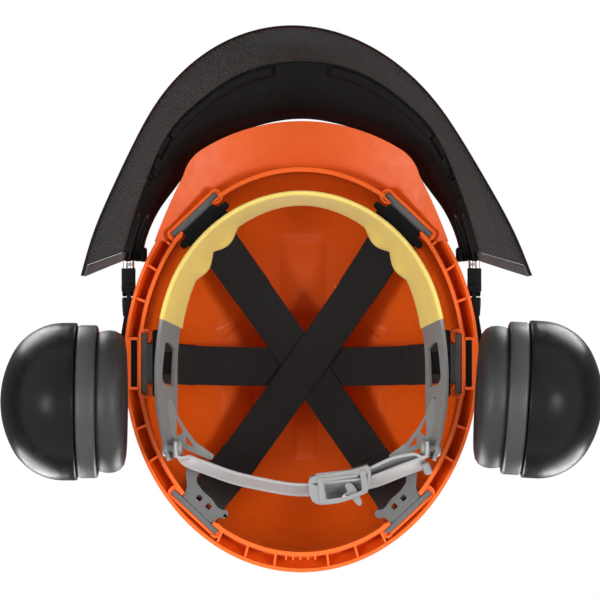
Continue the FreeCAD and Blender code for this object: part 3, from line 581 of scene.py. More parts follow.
def within(points, loop):
    """Which points lie inside a flat closed outline."""
    found = np.zeros(len(points), bool)
    for (ax, ay), (bx, by) in zip(loop, np.roll(loop, -1, axis=0)):
        if ay == by:
            continue
        crosses = (ay > points[:, 1]) != (by > points[:, 1])
        found ^= crosses & (points[:, 0] < ax + (points[:, 1] - ay) * (bx - ax) / (by - ay))
    return found


def plate(outline, holes, place, spacing=3.0):
    """A wall cut to a flat outline with holes; place puts flat points on each of its faces."""
    loops = []
    for loop in [outline, *holes]:
        dense = []
        for here, there in zip(loop, np.roll(loop, -1, axis=0)):
            steps = max(1, ceil(norm(there - here) / spacing))
            dense += [here + (there - here) * k / steps for k in range(steps)]
        loops.append(np.array(dense))
    points = np.concatenate(loops)
    ticks = [np.arange(low + spacing / 2, high, spacing)
             for low, high in zip(points.min(axis=0), points.max(axis=0))]
    grid = np.stack(np.meshgrid(*ticks), -1).reshape(-1, 2)
    if len(grid):
        near = np.array([np.min(norm(points - spot, axis=1)) for spot in grid])
        points = np.concatenate([points, grid[near > spacing * 0.45]])
    edges = []
    for loop in loops:
        base = len(edges)
        edges += [(base + k, base + (k + 1) % len(loop)) for k in range(len(loop))]
    found = delaunay_2d_cdt([Vector(p) for p in points], edges, [], 0, 1e-7)
    flat = np.array([tuple(p) for p in found[0]])
    index = {old: new for new, olds in enumerate(found[3]) for old in olds}
    triangles = np.array(found[2])
    middles = flat[triangles].mean(axis=1)
    kept = within(middles, loops[0])
    for hole in loops[1:]:
        kept &= ~within(middles, hole)
    count = len(flat)
    faces = [tuple(int(n) for n in face) for face in triangles[kept]]
    faces += [tuple(count + n for n in reversed(face)) for face in list(faces)]
    for a, b in edges:
        a, b = index[a], index[b]
        faces.append((a, b, count + b, count + a))
    return tidy_mesh(np.concatenate([place(flat, 0.0), place(flat, 1.0)]), faces)


def joined(meshes):
    """One mesh of several."""
    shape = bmesh.new()
    for mesh in meshes:
        shape.from_mesh(mesh)
        bpy.data.meshes.remove(mesh)
    mesh = bpy.data.meshes.new("piece")
    shape.to_mesh(mesh)
    shape.free()
    return mesh


BOX_FACES = ((0, 1, 3, 2), (4, 6, 7, 5), (0, 4, 5, 1), (2, 3, 7, 6), (0, 2, 6, 4),
             (1, 5, 7, 3))


def blocks(name, boxes, body, slot, nodes=(), bevel=0.0, matrix=Matrix(), paint=None):
    """A piece made of several boxes, put in place by a matrix."""
    finish_piece(name, blocks_mesh(boxes, matrix), body, slot, nodes, bevel, paint=paint)


def blocks_mesh(boxes, matrix):
    """One mesh of several boxes, each given by three ranges."""
    verts = []
    faces = []
    for x, y, z in boxes:
        faces += [tuple(len(verts) + n for n in face) for face in BOX_FACES]
        verts += [(a, b, c) for a in x for b in y for c in z]
    mesh = tidy_mesh(verts, faces)
    mesh.transform(matrix)
    return mesh


def flipped(points, side):
    """A flat outline on the given side."""
    return [(side * x, y) for x, y in points]


def mirrored(low, high, side):
    """A range beside the middle plane, on the given side."""
    return tuple(sorted((side * low, side * high)))


# ---- shell

keep_node("shell", "shell_orange")
RADIUS, SPRING, RISE, STRETCH, CENTRE = 99.8, 34.0, 105.7, 1.186, -5.0


def dome_inside(x, y):
    """Height of the dome's inner face over a point of the plan."""
    reach = (x ** 2 + ((y - CENTRE) / STRETCH) ** 2) / RADIUS ** 2
    return SPRING + RISE * np.sqrt(np.maximum(0.0, 1 - reach))


def dome_relief(name, corners, height):
    """A raised panel moulded on the dome's inner face, between four plan corners."""
    rows, columns, soft, sunk, back = 24, 10, 0.22, 0.2, 0.9
    a, b, c, d = [np.array(p, float) for p in corners]
    u = np.linspace(0, 1, rows)[:, None, None]
    w = np.linspace(0, 1, columns)[None, :, None]
    plan = (a * (1 - u) + b * u) * (1 - w) + (d * (1 - u) + c * u) * w
    x, y = plan[..., 0], plan[..., 1]
    z = dome_inside(x, y)
    slope_x = (dome_inside(x + 0.1, y) - z) / 0.1
    slope_y = (dome_inside(x, y + 0.1) - z) / 0.1
    normal = unit(np.stack([slope_x, slope_y, -np.ones_like(z)], -1))
    edge_u = np.minimum(u[..., 0], 1 - u[..., 0]) * rows / 3
    edge_w = np.minimum(w[..., 0], 1 - w[..., 0]) / soft
    lift = np.clip(np.minimum(edge_u, edge_w), 0, 1)
    lift = lift * lift * (3 - 2 * lift) * height
    face = np.stack([x, y, z], -1)
    verts = np.concatenate([(face + normal * (lift[..., None] - sunk)).reshape(-1, 3),
                            (face - normal * back).reshape(-1, 3)])
    total = rows * columns
    spot = np.arange(total).reshape(rows, columns)
    quads = np.stack([spot[:-1, :-1], spot[:-1, 1:], spot[1:, 1:], spot[1:, :-1]], -1)
    faces = []
    for quad in quads.reshape(-1, 4).tolist():
        faces += [quad, [total + n for n in reversed(quad)]]
    border = [*spot[0], *spot[1:, -1], *spot[-1, -2::-1], *spot[-2:0:-1, 0]]
    for here, there in zip(border, border[1:] + border[:1]):
        faces.append([int(n) for n in (here, there, total + there, total + here)])
    finish_piece(name, tidy_mesh(verts, faces), "helmet", "shell_orange")


dome_relief("crown_rib_front", [(-15, -88), (-15, -30), (17, -30), (17, -88)], 1.6)
dome_relief("crown_rib_rear", [(-7, 23), (-7, 62), (11, 62), (11, 23)], 1.4)
for name, side in SIDES:
    dome_relief(f"crown_flute_{name}",
                flipped([(20, -56), (57, -24), (52, -17), (18, -44)], side), 1.6)
    dome_relief(f"crown_step_{name}",
                flipped([(32, 14), (53, 12), (53, 32), (32, 32)], side), 1.2)

# ---- keys

# beside the middle, ahead, and turned by degrees
KEYS = {"front": (66.6, -96.6, 43.4), "side": (97.8, -4.0, 90.0), "rear": (66.4, 88.6, 137.0)}


KEY_FOOT = 3.0


def make_key(where, name, matrix):
    """A flat head with a step on its face, and a stem that the tape goes round."""
    step = 2.6 if where == "front" else 3.2
    boxes = [((-18.7, 18.7), (-1.8, 1.8), (0, 18)), ((-12.5, 12.5), (1.4, step), (0.7, 18)),
             *((x, (step - 0.2, 7.0), (1.6, 18)) for x in ((-12.5, -9.5), (9.5, 12.5))),
             ((-12.5, 12.5), (4.6, 7.0), (1.6, 6.5)), ((-12.5, 12.5), (4.6, 7.0), (13, 18)),
             ((-12.4, 12.4), (step - 0.2, 5.2), (1.2, 3.0))]
    node = f"key_{where}_{name}"
    blocks(node + "_moulded", boxes, "helmet", "suspension_grey", [node], 0.35, matrix)


HOOK = [(16.6, -3.2), (19.2, -3.0), (20.6, -1.6), (20.9, 0.6), (20.6, 2.8), (19.2, 4.2),
        (17.2, 4.4), (15.2, 4.3), (14.4, 3.6), (14.2, 2.6)]


def wall_loops(path, half, low, high, end=1):
    """Sections of an upright wall of even thickness along a line in the plan."""
    loops = []
    for i, foot in enumerate(path):
        way = unit(path[min(len(path) - 1, i + 1)] - path[max(0, i - 1)])
        square = np.array([-way[1], way[0]]) * half
        a, b = foot + square, foot - square
        loops.append([(end * a[0], a[1], low), (end * b[0], b[1], low),
                      (end * b[0], b[1], high), (end * a[0], a[1], high)])
    return loops


def make_hooks(where, name, matrix):
    """Two bent lips of the shell that close round the ends of a key."""
    half, high = 0.7, 15
    low = -2.3 if where == "side" else -1.6
    path = smooth([(x, y, 0) for x, y in HOOK])(np.linspace(0, 1, 25))[:, :2]
    for label, end in (("a", -1), ("b", 1)):
        loops = wall_loops(path, half, low, high, end)
        label = f"hook_{where}_{name}_{label}"
        mesh = sweep(loops)
        mesh.transform(matrix)
        finish_piece(label, mesh, "helmet", "shell_orange", bevel=0.3)


def oblong(x, y):
    """The corners of a rectangle between two ranges."""
    return [(x[0], y[0]), (x[1], y[0]), (x[1], y[1]), (x[0], y[1])]


def upright_plate(half, y, z, matrix, radius):
    """A plate with rounded ends, in a key's own place."""
    outline = soften(oblong((-half, half), z), radius, 6)
    mesh = plate(outline, [], lambda p, t: np.column_stack(
        [p[:, 0], np.full(len(p), y[0] + (y[1] - y[0]) * t), p[:, 1]]), 6.0)
    mesh.transform(matrix)
    return mesh


def flat_plate(outline, holes, z, matrix):
    """A level plate cut to an outline, in a key's own place."""
    mesh = plate(outline, holes, lambda p, t: np.column_stack(
        [p, np.full(len(p), z[0] + (z[1] - z[0]) * t)]))
    mesh.transform(matrix)
    return mesh


def make_hanger(where, name, side, matrix):
    """The hanger behind a key: a padded bar, or at the rear a bracket with two ears."""
    label = f"hanger_{where}_{name}_moulded"
    if where == "rear":
        outline = [(-12.5, 1.9), (13.0, 1.9), (12.8, 7.6), (16.2, 9.4), (17.0, 12.4),
                   (13.8, 15.0), (11.6, 12.6), (8.2, 11.8), (1.8, 13.4), (-4.6, 12.9),
                   (-11.2, 14.2), (-13.8, 16.2), (-15.0, 21.6), (-20.8, 20.4), (-23.0, 17.2),
                   (-20.4, 13.6), (-13.8, 7.8)]
        outline = flipped(outline, side)
        holes = [soften(oblong((x - 1.7, x + 1.7), (6.9, 10.0)), 0.6)
                 for x in (-3.9 * side, 3.8 * side)]
        meshes = [flat_plate(soften(outline, 2.4), holes, (-0.4, 1.5), matrix),
                  upright_plate(12.0, (10.9, 12.3), (0.6, 18.5), matrix, 2.0)]
        curl = [(side * -18.8 + 2.6 * cos(turn), 18.6 + 2.6 * sin(turn))
                for turn in np.linspace(0, 2 * pi, 12, endpoint=False)]
        meshes.append(flat_plate(np.array(curl), [], (-1.4, 6.0), matrix))
        slot, bevel = "suspension_grey", 0.3
    else:
        if where == "front":
            near, far, back, half, reach = 3.0, 11.4, 15.8, 20.0, 3.4
            ends = soften([(-12.8, near), (12.8, near), (13.4, 6.4), (half, 6.8), (half, far),
                           (-half, far), (-half, 6.8), (-13.4, 6.4)], 2.6, 5)
        else:
            near, far, back, half, reach = 5.2, 9.4, 10.4, 21.0, 6.8
            ends = soften(oblong((-half, half), (near, far)), 1.9, 6)
        meshes = [flat_plate(ends, [], (-0.6, 1.4), matrix),
                  upright_plate(half, (back - 1.6, back), (0.0, 18.5), matrix, 3.0),
                  blocks_mesh([((-half + 4, half - 4), (far - 1.2, back - 0.4), (0, 1.4)),
                                      ((-7, 7), (back - 0.4, back + reach), (16.9, 18.5))],
                              matrix)]
        slot, bevel = "moulding_black", 0.5
    finish_piece(label, joined(meshes), "helmet", slot, [f"hanger_{where}_{name}"], bevel=bevel)


for where, (x, y, turn) in KEYS.items():
    for name, side in SIDES:
        matrix = placed(side * x, y, KEY_FOOT, side * turn)
        make_key(where, name, matrix)
        make_hooks(where, name, matrix)
        make_hanger(where, name, side, matrix)

# ---- webbing


def tape(name, start, end, crown, folds, sway):
    """A woven tape over the crown between two stems; its ends are doubled back and sewn."""
    start = np.array(start, float)
    end = np.array(end, float)
    middle = (start + end) / 2
    half = norm(end - start) / 2
    along = (end - start) / (2 * half)
    across = np.cross(along, UP)
    straight, flat, wall, width = 16.0, 34.0, 1.3, 25.0
    rise = crown - KEY_FOOT - straight
    route = [(-half, z) for z in np.linspace(0, straight, 12)[:-1]]
    for step in range(0, 101):
        angle = pi / 2 * step / 100
        route.append((-flat - (half - flat) * cos(angle), straight + rise * sin(angle)))
    route += [(x, straight + rise) for x in np.linspace(-flat, 0, 20)[1:]]
    route += [(-x, z) for x, z in reversed(route[:-1])]
    route = np.array(route)
    length = lengths_along(route)
    loops = []
    coords = []
    section = flat_section(width, wall, 0.5, 11)
    for i, (x, z) in enumerate(route):
        way = unit(route[min(len(route) - 1, i + 1)] - route[max(0, i - 1)])
        out = -along * way[1] + UP * way[0]
        foot = middle + along * x + UP * z
        foot = foot + np.array([*sway, 0.0]) * (1 - (x / half) ** 4)
        share = section[:, 0] / width - 0.5
        inset = half - abs(x)
        fold = folds[0] if x < 0 else folds[1]
        doubled = 1 / (1 + exp(min(30, (inset - fold) / 0.35)))
        ripple = 0.22 * np.sin(length[i] / 6.0 + 4 * share) * exp(-inset / 40)
        gather = 0.16 * exp(-((inset - fold - 13) / 9) ** 2)
        ripple = ripple + gather * np.sin(length[i] * 2 * pi / 3.1 + 2 * share)
        cup = 0.4 * (share * 2) ** 2
        under = section[:, 1] < wall / 2
        level = section[:, 1] - wall + ripple - cup - under * doubled * 1.1
        wide = (section[:, :1] - width / 2) * (1 + 0.035 * doubled)
        loops.append(foot + across * wide + out * level[:, None])
        coords.append(np.column_stack([np.full(len(section), length[i]), section[:, 0]]))
    finish_piece(name + "_tape", sweep(loops, coords), "helmet",
                 "webbing_black", [name])


def stem_end(where, side, gap):
    """Where a tape's fold lies, behind a key's stem."""
    stem = 7.0
    x, y, turn = KEYS[where]
    turn = radians(side * turn)
    reach = stem + gap
    return (side * x - sin(turn) * reach, y + cos(turn) * reach, KEY_FOOT)


for name, first, second, gap, crown, folds, sway in (
        ("side", ("side", -1), ("side", 1), 0.3, 102.0, (21.5, 21.5), (0.0, 3.6)),
        ("front_left", ("front", 1), ("rear", -1), 2.0, 98.8, (47, 34), (2.2, 3.2)),
        ("front_right", ("front", -1), ("rear", 1), 2.0, 100.4, (47, 30), (2.2, 3.2))):
    tape(f"webbing_{name}", stem_end(*first, gap), stem_end(*second, gap), crown, folds, sway)

# ---- headband, sweatband


def band_rail(half, front, height, tail_half, tail_height):
    depth = front - 9.0
    side_drop = (height * 3 + tail_height) / 4
    right = [(-tail_half, 55, tail_height), (-half, 18, side_drop), (-half, -9, height)]
    brow = []
    for turn in (150, 120, 90, 60, 30):
        angle = radians(turn)
        brow.append((half * cos(angle), -9 - depth * sin(angle), height))
    return smooth(right + brow + [(-x, y, z) for x, y, z in reversed(right)])


band_foot = band_rail(88.6, 108.8, -12, 80.6, -30)
band_head = band_rail(77.4, 103.6, 22, 79.0, -14)
BAND_WIDTH = 36.0
BAND_WALL = 2.2


def make_headband():
    """A flexible band with a long slot, small vents and a lattice at each side."""
    samples = np.linspace(0, 1, 801)
    feet = band_foot(samples)
    way = lengths_along(feet)
    total = way[-1]

    def along(y):
        half = len(samples) // 2
        return np.interp(-y, -feet[:half, 1], way[:half])

    def place(points, t):
        shares = np.interp(points[:, 0], way, samples)
        foot, up, out, width = frames_between(band_foot, band_head, shares)
        return foot + up * width * points[:, 1:] / BAND_WIDTH + out * BAND_WALL * t

    outline = soften(oblong((0, total), (0, BAND_WIDTH)), 3.0)
    holes = []
    for mirror in (False, True):
        shapes = [[(-20.0, 11.0), (3.0, 8.5), (6.0, 13), (5.0, 29.5), (-20.0, 31.0),
                   (-21.5, 20)],
                  [(13.0, 19), (15.4, 16.5), (15.4, 21.5)]]
        for shape in shapes:
            loop = np.array([(along(y), across) for y, across in shape])
            if mirror:
                loop[:, 0] = total - loop[:, 0]
            holes.append(soften(loop, 2.0))
    meshes = [plate(outline, holes, place, 3.2)]
    for _, side in SIDES:
        truss = [(81.0, 17.0), (76.9, 27.8), (72.7, 34.9), (65.6, 44.4), (53.7, 52.7),
                 (55.6, 55.8), (69.5, 50.2), (76.5, 46.4), (80.2, 41.0), (83.2, 33.0),
                 (85.4, 19.0)]
        windows = [[(77.4, 30.0), (73.4, 38.4), (77.4, 41.0)],
                   [(71.6, 40.6), (66.6, 47.6), (71.4, 45.6)]]
        meshes.append(plate(
            soften(flipped(truss, side), 2.0),
            [soften(flipped(loop, side), 0.8) for loop in windows],
            lambda p, t: np.column_stack([p, -2.0 - (p[:, 1] - 18) * 0.32 + 1.8 * t])))
    finish_piece("headband_moulded", joined(meshes), "helmet",
                 "suspension_grey", ["headband"], bevel=0.4, paint="headband_grey")


def make_sweatband():
    """A soft hide sewn round the headband's brow, with a scalloped upper edge."""
    count, start, stop = 241, 0.22, 0.78
    shares = np.linspace(start, stop, count)
    foot, up, out, width = frames_between(band_foot, band_head, shares)
    bearing = np.degrees(np.arctan2(np.abs(foot[:, 0]), -(foot[:, 1] + 9)))
    lobe = sum(np.sin(np.clip((bearing - begin) / span, 0, 1) * pi) * height
               for begin, span, height in ((25.6, 13.4, 4.6), (39, 13, 4.0)))
    run = unit(np.gradient(foot, axis=0))
    slant = 4.2 * np.sign(shares - 0.5) * np.clip(np.abs(shares - 0.5) / 0.04 - 6, 0, 1)
    end = np.minimum(1, np.minimum(shares - start, stop - shares) / 0.012)
    end = np.sqrt(1 - (1 - end) ** 2)
    loops = []
    for i in range(count):
        top = width[i, 0] + 2.5
        thick = 2.3 + 0.5 * end[i]
        outer = [(top * a, 0.5 + lobe[i] * a ** 3) for a in np.linspace(1, 0.06, 16)]
        turn = [(1.2 - 2.6 * sin(t), 0.5 - 1.6 + 1.6 * cos(t))
                for t in np.linspace(0, pi, 7)]
        inner = np.array(outer + turn + [(4.0, -2.7), (7.0, -2.7)])
        way = unit(np.gradient(inner, axis=0))
        square = np.column_stack([-way[:, 1], way[:, 0]])
        rise = np.linspace(0, 1, 16)
        fat = np.concatenate([0.75 + 0.35 * np.sin(pi * rise) ** 0.6, np.full(9, 0.78)])
        skin = inner + square * (thick * fat)[:, None]
        ring = np.concatenate([inner, [(inner[-1] + skin[-1]) / 2 + (0.8, 0)], skin[::-1],
                               [(inner[0] + skin[0]) / 2 + (0.9, 0)]])
        loops.append(foot[i] + up[i] * ring[:, :1] - out[i] * ring[:, 1:]
                     + run[i] * slant[i] * (1 - ring[:, :1] / top))
    return finish_piece("sweatband_hide", sweep(loops), "helmet", "sweatband_yellow",
                        ["sweatband"], sharp=75)


make_headband()
make_sweatband()

# ---- carriers, muffs

for name, side in SIDES:
    rounded(f"carrier_{name}", "moulding_black", 0.6)
    keep_node(f"bail_{name}", "steel")
    rounded(f"slider_{name}", "moulding_black", 0.7)
    keep_node(f"cup_pin_{name}", "steel")

CUP_CENTRE_Y = 18.4
CUP_CENTRE_Z = -52.0
CUP_FACE = 107.0


def arc_points(start, middle, end, count):
    """Points on the circle through three points of a profile."""
    a, b, c = (complex(*point) for point in (start, middle, end))
    w = (c - a) / (b - a)
    centre = a + (b - a) * (w - abs(w) ** 2) / (2j * w.imag)
    spokes = [centre + (a - centre) * np.exp(1j * turn)
              for turn in np.linspace(0, np.angle((c - centre) / (a - centre)), count)]
    return [(spot.real, spot.imag) for spot in spokes]


def cup_profile():
    """Radius and depth of the outer cup from its seam to its pole and back inside."""
    base, full, tall = 29.2, 48.0, 47.1
    side_end = (full, base + 8.8)
    corner = (full * 0.865, base + tall * 0.61)
    brow = (full * 0.583, base + tall * 0.855)
    rise = tall * 0.145
    radius = (brow[0] ** 2 + rise ** 2) / (2 * rise)
    lip = [(43.5, base + 0.2), (46.9, base + 0.2), (47.7, base + 0.5), (full, base + 1.2)]
    curve = arc_points(side_end, corner, brow, 26)
    first = asin(brow[0] / radius)
    cap = [(radius * sin(t), base + tall - radius * (1 - cos(t)))
           for t in np.linspace(first, 0, 16)[1:]]
    inside = [(0.0, base + tall - 3.0), (22.0, base + tall - 8.6), (38.0, base + tall * 0.55),
              (44.0, base + 12), (43.5, base + 4)]
    return lip + [(full, base + 5)] + curve + cap + inside


# radius and depth, outwards from the ear
RING = [(42.6, 17.0), (45.4, 17.0), (46.3, 17.5), (46.6, 18.6), (46.6, 26.9), (46.3, 28.2),
        (45.4, 28.9), (42.6, 29.0)]
FOAM = [(0.0, 18.5), (20.0, 18.2), (41.5, 17.6), (42.4, 20.0), (42.0, 24.6), (0.0, 24.8)]
SEAM = 16.8
CUSHION = [(41.8, SEAM), (42.6, 15.6), (43.2, 13.0), (43.5, 10.0), (43.0, 6.4), (41.3, 3.0),
           (38.4, 0.9), (34.8, 0.1), (31.2, 0.7), (28.2, 2.8), (26.2, 6.0), (25.3, 9.6),
           (25.6, 13.2), (26.6, SEAM)]


def wrinkle(points, angle):
    """The skin pulls in a little unevenly round the cushion."""
    wave = (0.35 * sin(3 * angle + 1.0) + 0.2 * sin(7 * angle)
            + 0.1 * sin(17 * angle))
    moved = points.copy()
    soft = np.sin(np.clip(points[:, 0] / SEAM, 0, 1) * pi)
    moved[:, 0] += wave * soft * 0.6
    return moved


for name, side in SIDES:
    yaw, shift = (3.4, -3.4) if name == "left" else (0.0, 0.0)
    centre = (side * CUP_FACE, CUP_CENTRE_Y + shift, CUP_CENTRE_Z)
    body = f"muff_{name}"

    def turned(piece, node, profile, slot, **details):
        return lathe(piece, profile, centre, side, body, slot, [f"{node}_{name}"], yaw=yaw,
                     **details)

    turned(f"cup_{name}_shell", "cup", cup_profile(), "moulding_black")
    blocks(f"cup_{name}_lug", [((-4, 4), (-5, 5), (-11, 0)), ((-4, 4), (-5, 5), (-2, 3.6))],
           body, "moulding_black", bevel=1.2, matrix=placed(side * 160, CUP_CENTRE_Y, 1.0))
    # the ring's paint holds a painted highlight on top of its own duller black
    turned(f"cup_{name}_ring", "cup_ring", RING, "moulding_black", paint="ring_black_painted_highlight")
    pad = turned(f"cushion_{name}_skin", "cushion", CUSHION, "cushion_black", steps=120,
                 shape=wrinkle)
    turned(f"foam_{name}_disc", "cup_foam", FOAM, "foam_grey")

# ---- nape strap and buckle

BUCKLE_X, BUCKLE_Y, BUCKLE_TURN = 23.5, 72.0, -7.0
NAPE_X = 78.4
NAPE_Y = 48.0


def at_buckle(x, y):
    """A point of the plan from its place in the turned buckle."""
    turn = radians(BUCKLE_TURN)
    return (BUCKLE_X + x * cos(turn) - y * sin(turn),
            BUCKLE_Y + x * sin(turn) + y * cos(turn))


OUTER_LANE = 3.4
INNER_LANE = -1.8
RIGHT_ARM = [(-NAPE_X, NAPE_Y - 4.5), (-NAPE_X, NAPE_Y), (-NAPE_X + 1.8, NAPE_Y + 7),
             (-63, 63), (-45, 69.5), (-24, 74.5), at_buckle(-19.5, OUTER_LANE),
             at_buckle(0, OUTER_LANE), at_buckle(19.5, OUTER_LANE), (60, 67.0), (77.5, 60.5)]
LEFT_ARM = [at_buckle(-13.5, INNER_LANE), at_buckle(0, INNER_LANE),
            at_buckle(19.5, INNER_LANE), (62, 60), (NAPE_X - 1.8, NAPE_Y + 7),
            (NAPE_X, NAPE_Y), (NAPE_X, NAPE_Y - 4.5)]


def leaning_rail(points, height, lean_in):
    """A strap's edge, moved in or out from its line except near its rivet."""
    line = smooth([(x, y, height) for x, y in points])

    def at(share):
        share = np.asarray(share, float)
        spot = line(share)
        way = heading(line, share)
        out = unit(np.stack([-way[..., 1], way[..., 0], np.zeros_like(share)], -1))
        near = np.hypot(np.abs(spot[..., 0]) - NAPE_X, spot[..., 1] - NAPE_Y)
        free = np.clip((near - 4) / 10, 0, 1)
        free = np.where(spot[..., 1] > NAPE_Y, free * free * (3 - 2 * free), 0)
        return spot + out * (free * lean_in)[..., None]
    return at


def strap_relief(share, across, out):
    """A thicker rim along each edge of the strap's outer face."""
    rim = np.clip((np.abs(across - 0.5) - 0.36) / 0.05, 0, 1)
    return np.where(out < 0.5, 0.45 * (1 - rim), 0.0)


for (name, side), points in zip(SIDES[::-1], (RIGHT_ARM, LEFT_ARM)):
    band(f"nape_strap_{name}_moulded", leaning_rail(points, -31, -7.2),
         leaning_rail(points, -15, 0.4), 2.0, "nape", "strap_grey", [f"nape_strap_{name}"],
         count=161, relief=strap_relief, across=25)
    lathe(f"nape_rivet_{name}_knob", [
        (0, -5.4), (3.4, -5.4), (5.2, -4.6), (5.8, -3.0), (5.8, -0.6), (5.0, 0.8), (2.45, 1.1),
        (2.45, 4.3), (4.6, 4.5), (5.2, 5.4), (4.6, 6.8), (3.0, 7.6), (0, 7.8)],
          (side * NAPE_X, NAPE_Y, -23), side, "nape", "strap_grey", [f"nape_rivet_{name}"],
          steps=48, paint="headband_grey")

blocks("nape_strap_tail", [((-2.6, 2.6), (-3.4, 4.4), (-6, 6))], "nape", "strap_grey",
       bevel=1.8, matrix=placed(77.0, 59.6, -24, -20), paint="headband_grey")

BUCKLE_MATRIX = placed(BUCKLE_X, BUCKLE_Y, 0.0, BUCKLE_TURN)
BUCKLE_EDGE = soften([(-19.2, -1.2), (-18.3, -7.4), (-16.0, -9.2), (8.8, -10.4), (19.6, -12.2),
                      (20.4, -6.9), (17.6, 4.5), (4.1, 8.0), (-1.9, 9.0), (-13.8, 8.7),
                      (-18.0, 6.1)], 4.0)
BUCKLE_HOLES = [soften([(-9, -4.4), (13.2, -6.8), (13.4, 3.0), (3.0, 5.6), (-9, 6.0)], 1.4),
                soften([(-16.6, -4.6), (-11.6, -5.2), (-11.8, -2.8)], 0.7),
                soften([(15.2, -6.4), (18.0, -6.8), (17.4, -3.2), (15.0, -3.0)], 0.7)]


def make_buckle():
    """An open frame round both straps: a ring below, a ring above, and their walls."""
    meshes = [flat_plate(BUCKLE_EDGE, BUCKLE_HOLES, (-33.6, -31.4), BUCKLE_MATRIX),
              flat_plate(BUCKLE_EDGE * 0.86, [], (-14.4, -12.4), BUCKLE_MATRIX)]
    for rail in ([(-17.6, -8.2), (8.8, -9.6), (19.0, -11.3)],
                 [(-14.0, 7.9), (-1.9, 8.2), (4.4, 7.2), (16.8, 3.9)]):
        line = smooth([(x, y, 0) for x, y in rail])(np.linspace(0, 1, 17))[:, :2]
        meshes.append(sweep(wall_loops(line, 0.8, -32, -14)))
        meshes[-1].transform(BUCKLE_MATRIX)
    meshes.append(blocks_mesh([((-13.2, -9.6), (-7.8, 7.8), (-34.4, -33.2)),
                               ((13.6, 17.2), (-9.0, 3.6), (-34.4, -33.2)),
                               ((-10, 12), (-7.4, -5.4), (-34.2, -33.2))], BUCKLE_MATRIX))
    finish_piece("buckle_frame", joined(meshes), "nape", "strap_grey", ["buckle"], bevel=0.5,
                 paint="headband_grey")


def make_lever():
    """A curved trigger on the buckle's pin, to press with a finger."""
    blade = soften([(2.0, 3.9), (4.6, 3.2), (3.2, -1.4), (5.4, -3.2), (8.2, -1.4), (10.4, 2.6),
                    (11.8, 7.0), (12.6, 11.2), (10.8, 12.8), (8.8, 11.0), (7.2, 7.8),
                    (2.0, 7.5), (0.3, 5.7)], 1.8)
    mesh = flat_plate(blade, [], (-29.8, -16.2), BUCKLE_MATRIX)
    finish_piece("buckle_trigger", mesh, "lever", "strap_grey", ["buckle_lever"], bevel=0.6,
                 paint="headband_grey")


make_buckle()
make_lever()
keep_node("lever_pin", "steel")

# ---- visor


def both_sides(points):
    return [(-x, y, z) for x, y, z in reversed(points[1:])] + points


HEM = -158.0
FRAME_EDGE = [(0, -192.5, 2), (38.3, -184.7, 3), (63.1, -168.6, 5), (82.5, -149.0, 7),
              (94.5, -125.0, 9.5), (104.5, -98.0, 12), (112.9, -68.0, 14)]
FRAME_CREST = [(0, -157.3, 26), (23.5, -154.0, 25.7), (48.0, -144.5, 25),
               (66.0, -131.0, 23.5), (79.0, -114.0, 22.3), (88.5, -101.0, 21.6),
               (94.8, -88.6, 21.2), (98.4, -77.0, 21), (99.5, -68.0, 21)]
MESH_EDGE = [(0, -202.4), (33.5, -195.7), (57.5, -181.8), (81.0, -157.4), (94.1, -136.4),
             (109.0, -108.6), (122.3, -80.7), (130.4, -57.4)]
frame_edge = smooth(both_sides(FRAME_EDGE))
frame_crest = smooth(both_sides(FRAME_CREST))
mesh_edge = smooth(both_sides([(x, y, HEM) for x, y in MESH_EDGE]))
HEM_LEAN = 0.058


def lean(points):
    """The hem hangs a little off to one side, as a visor that has been handled."""
    drop = np.clip((2 - points[..., 2]) / 160, 0, 1)
    moved = points.copy()
    moved[..., 0] += HEM_LEAN * drop * (points[..., 1] + 107)
    return moved


def between(share):
    def rail(place):
        return lean(frame_edge(place) * (1 - share) + mesh_edge(place) * share)
    return rail


def frame_relief(share, across, out):
    """Under the frame: a flat rib along its edge with recesses, and two ridges at each foot."""
    way = abs(share - 0.5)
    start = np.clip((way - 0.045) / 0.006, 0, 1)
    rib = ((across > 0.045) & (across < 0.185)) * start
    dip = any(abs(way - place) < half for place, half in ((0.287, 0.02), (0.366, 0.017)))
    peg = np.hypot((way - 0.336) * 366, (across - 0.11) * 42) < 2.6
    foot = np.clip((way - 0.4) / 0.03, 0, 1)
    ridges = np.maximum(np.exp(-((across - 0.3) / 0.1) ** 4),
                        np.exp(-((across - 0.78) / 0.14) ** 4))
    brow = np.exp(-((across - 0.2) / 0.018) ** 2) * start * 0.7
    seam = (across < 0.03) * 1.6
    height = rib * 1.7 * (1 - dip) - rib * dip * 1.4 + peg * 2.4 + brow - seam
    height = height * (1 - foot) + foot * ridges * 2.2
    lip = np.clip((across - 0.95) / 0.03, 0, 1) * 0.8
    return np.where(out < 0.5, -height - lip, 0.0)


band("visor_frame_moulded", frame_edge, frame_crest, 2.6, "visor", "moulding_black",
     ["visor_frame"], count=321, radius=1.0, relief=frame_relief, across=90)


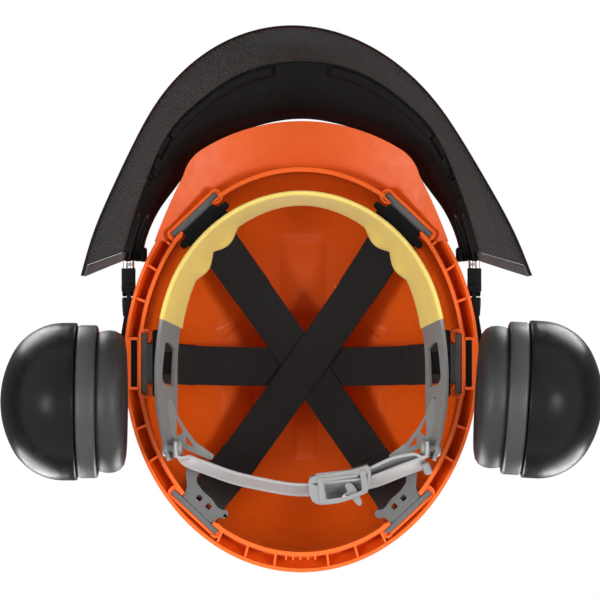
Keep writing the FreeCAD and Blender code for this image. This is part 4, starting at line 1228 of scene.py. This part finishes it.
def visor_gauze():
    """Crossing wires of black gauze, hung from the frame's edge down to the hem."""
    low, high, pitch, thick, ring = 0.975, -0.004, 1.9, 0.24, 4
    start, end, drop, breadth = 0.016, 0.984, 160, 480
    verts = []
    faces = []

    def wire(line):
        way = unit(np.gradient(line, axis=0))
        guide = UP if abs(way[0][2]) < 0.7 else np.array([1.0, 0.3, 0.0])
        first = unit(np.cross(way, guide))
        second = np.cross(way, first)
        faces.extend(ring_faces(len(line), ring, len(verts)))
        for i, spot in enumerate(line):
            for k in range(ring):
                angle = 2 * pi * k / ring
                verts.append(spot + thick * (first[i] * cos(angle)
                                             + second[i] * sin(angle)))

    rows = int(drop * (low - high) / pitch)
    for row in range(rows + 1):
        share = high + (low - high) * row / rows
        wire(between(share)(np.linspace(start, end, 60)))
    columns = int(breadth / pitch)
    for column in range(columns + 1):
        place = start + (end - start) * column / columns
        wire(np.array([between(share)(place) for share in np.linspace(high, low, 5)]))
    finish_piece("visor_gauze", tidy_mesh(verts, faces), "visor", "visor_mesh",
                 ["visor_mesh"])


visor_gauze()
band("visor_hem_trim", between(1.0), between(0.957), 1.3, "visor", "trim_grey", ["visor_hem"],
     count=121, radius=0.6, paint="moulding_black")
for name, low, high in (("right", 0.0, 0.016), ("left", 0.984, 1.0)):
    foot, head = (smooth([between(share)(place) for share in np.linspace(0.99, 0.0, 9)])
                  for place in (low, high))
    band(f"visor_edge_{name}_trim", foot, head, 1.8, "visor", "trim_grey",
         [f"visor_edge_{name}"], count=25, radius=0.9)
for name, side in SIDES:
    rounded(f"visor_knuckle_{name}", "moulding_black", 0.8)
    keep_node(f"visor_pin_{name}", "steel")
    keep_node(f"visor_clip_{name}", "steel")
    cheek = mirrored(103.7, 112.4, side)
    blocks(f"visor_knuckle_{name}_cover",
           [(cheek, (-63.4, -48.6), (9.7, 11.5)), (cheek, (-53.4, -50.2), (8.9, 10)),
            (cheek, (-63.4, -59.6), (11, 13.4))], "visor", "moulding_black", bevel=0.8)
    blocks(f"visor_frame_{name}_pad",
           [(mirrored(96.6, 101.0, side), (-76.5, -67.3), (14.0, 18.8))], "visor",
           "moulding_black", bevel=1.6)
    boss = [[(side * near, y, low), (side * far, y, low), (side * far, y, high),
             (side * near, y, high)]
            for y, near, far, low, high in ((-45.2, 103.6, 112.2, 12.6, 23.4),
                                            (-42, 104.4, 112.2, 12.4, 23.6),
                                            (-38, 106.6, 112.0, 13, 23),
                                            (-33, 108.6, 111.6, 13, 23))]
    finish_piece(f"carrier_{name}_boss", sweep(boss), "helmet", "moulding_black", bevel=0.9)

# small teeth under the rim at the back
blocks("rim_teeth", [((x - 0.6, x + 0.6), (115.4, 118.2), (0.5, 3.5))
                     for x in (-9.6, -5.2, -0.6, 4.0, 8.6)], "helmet", "shell_orange", bevel=0.3)

low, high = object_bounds()
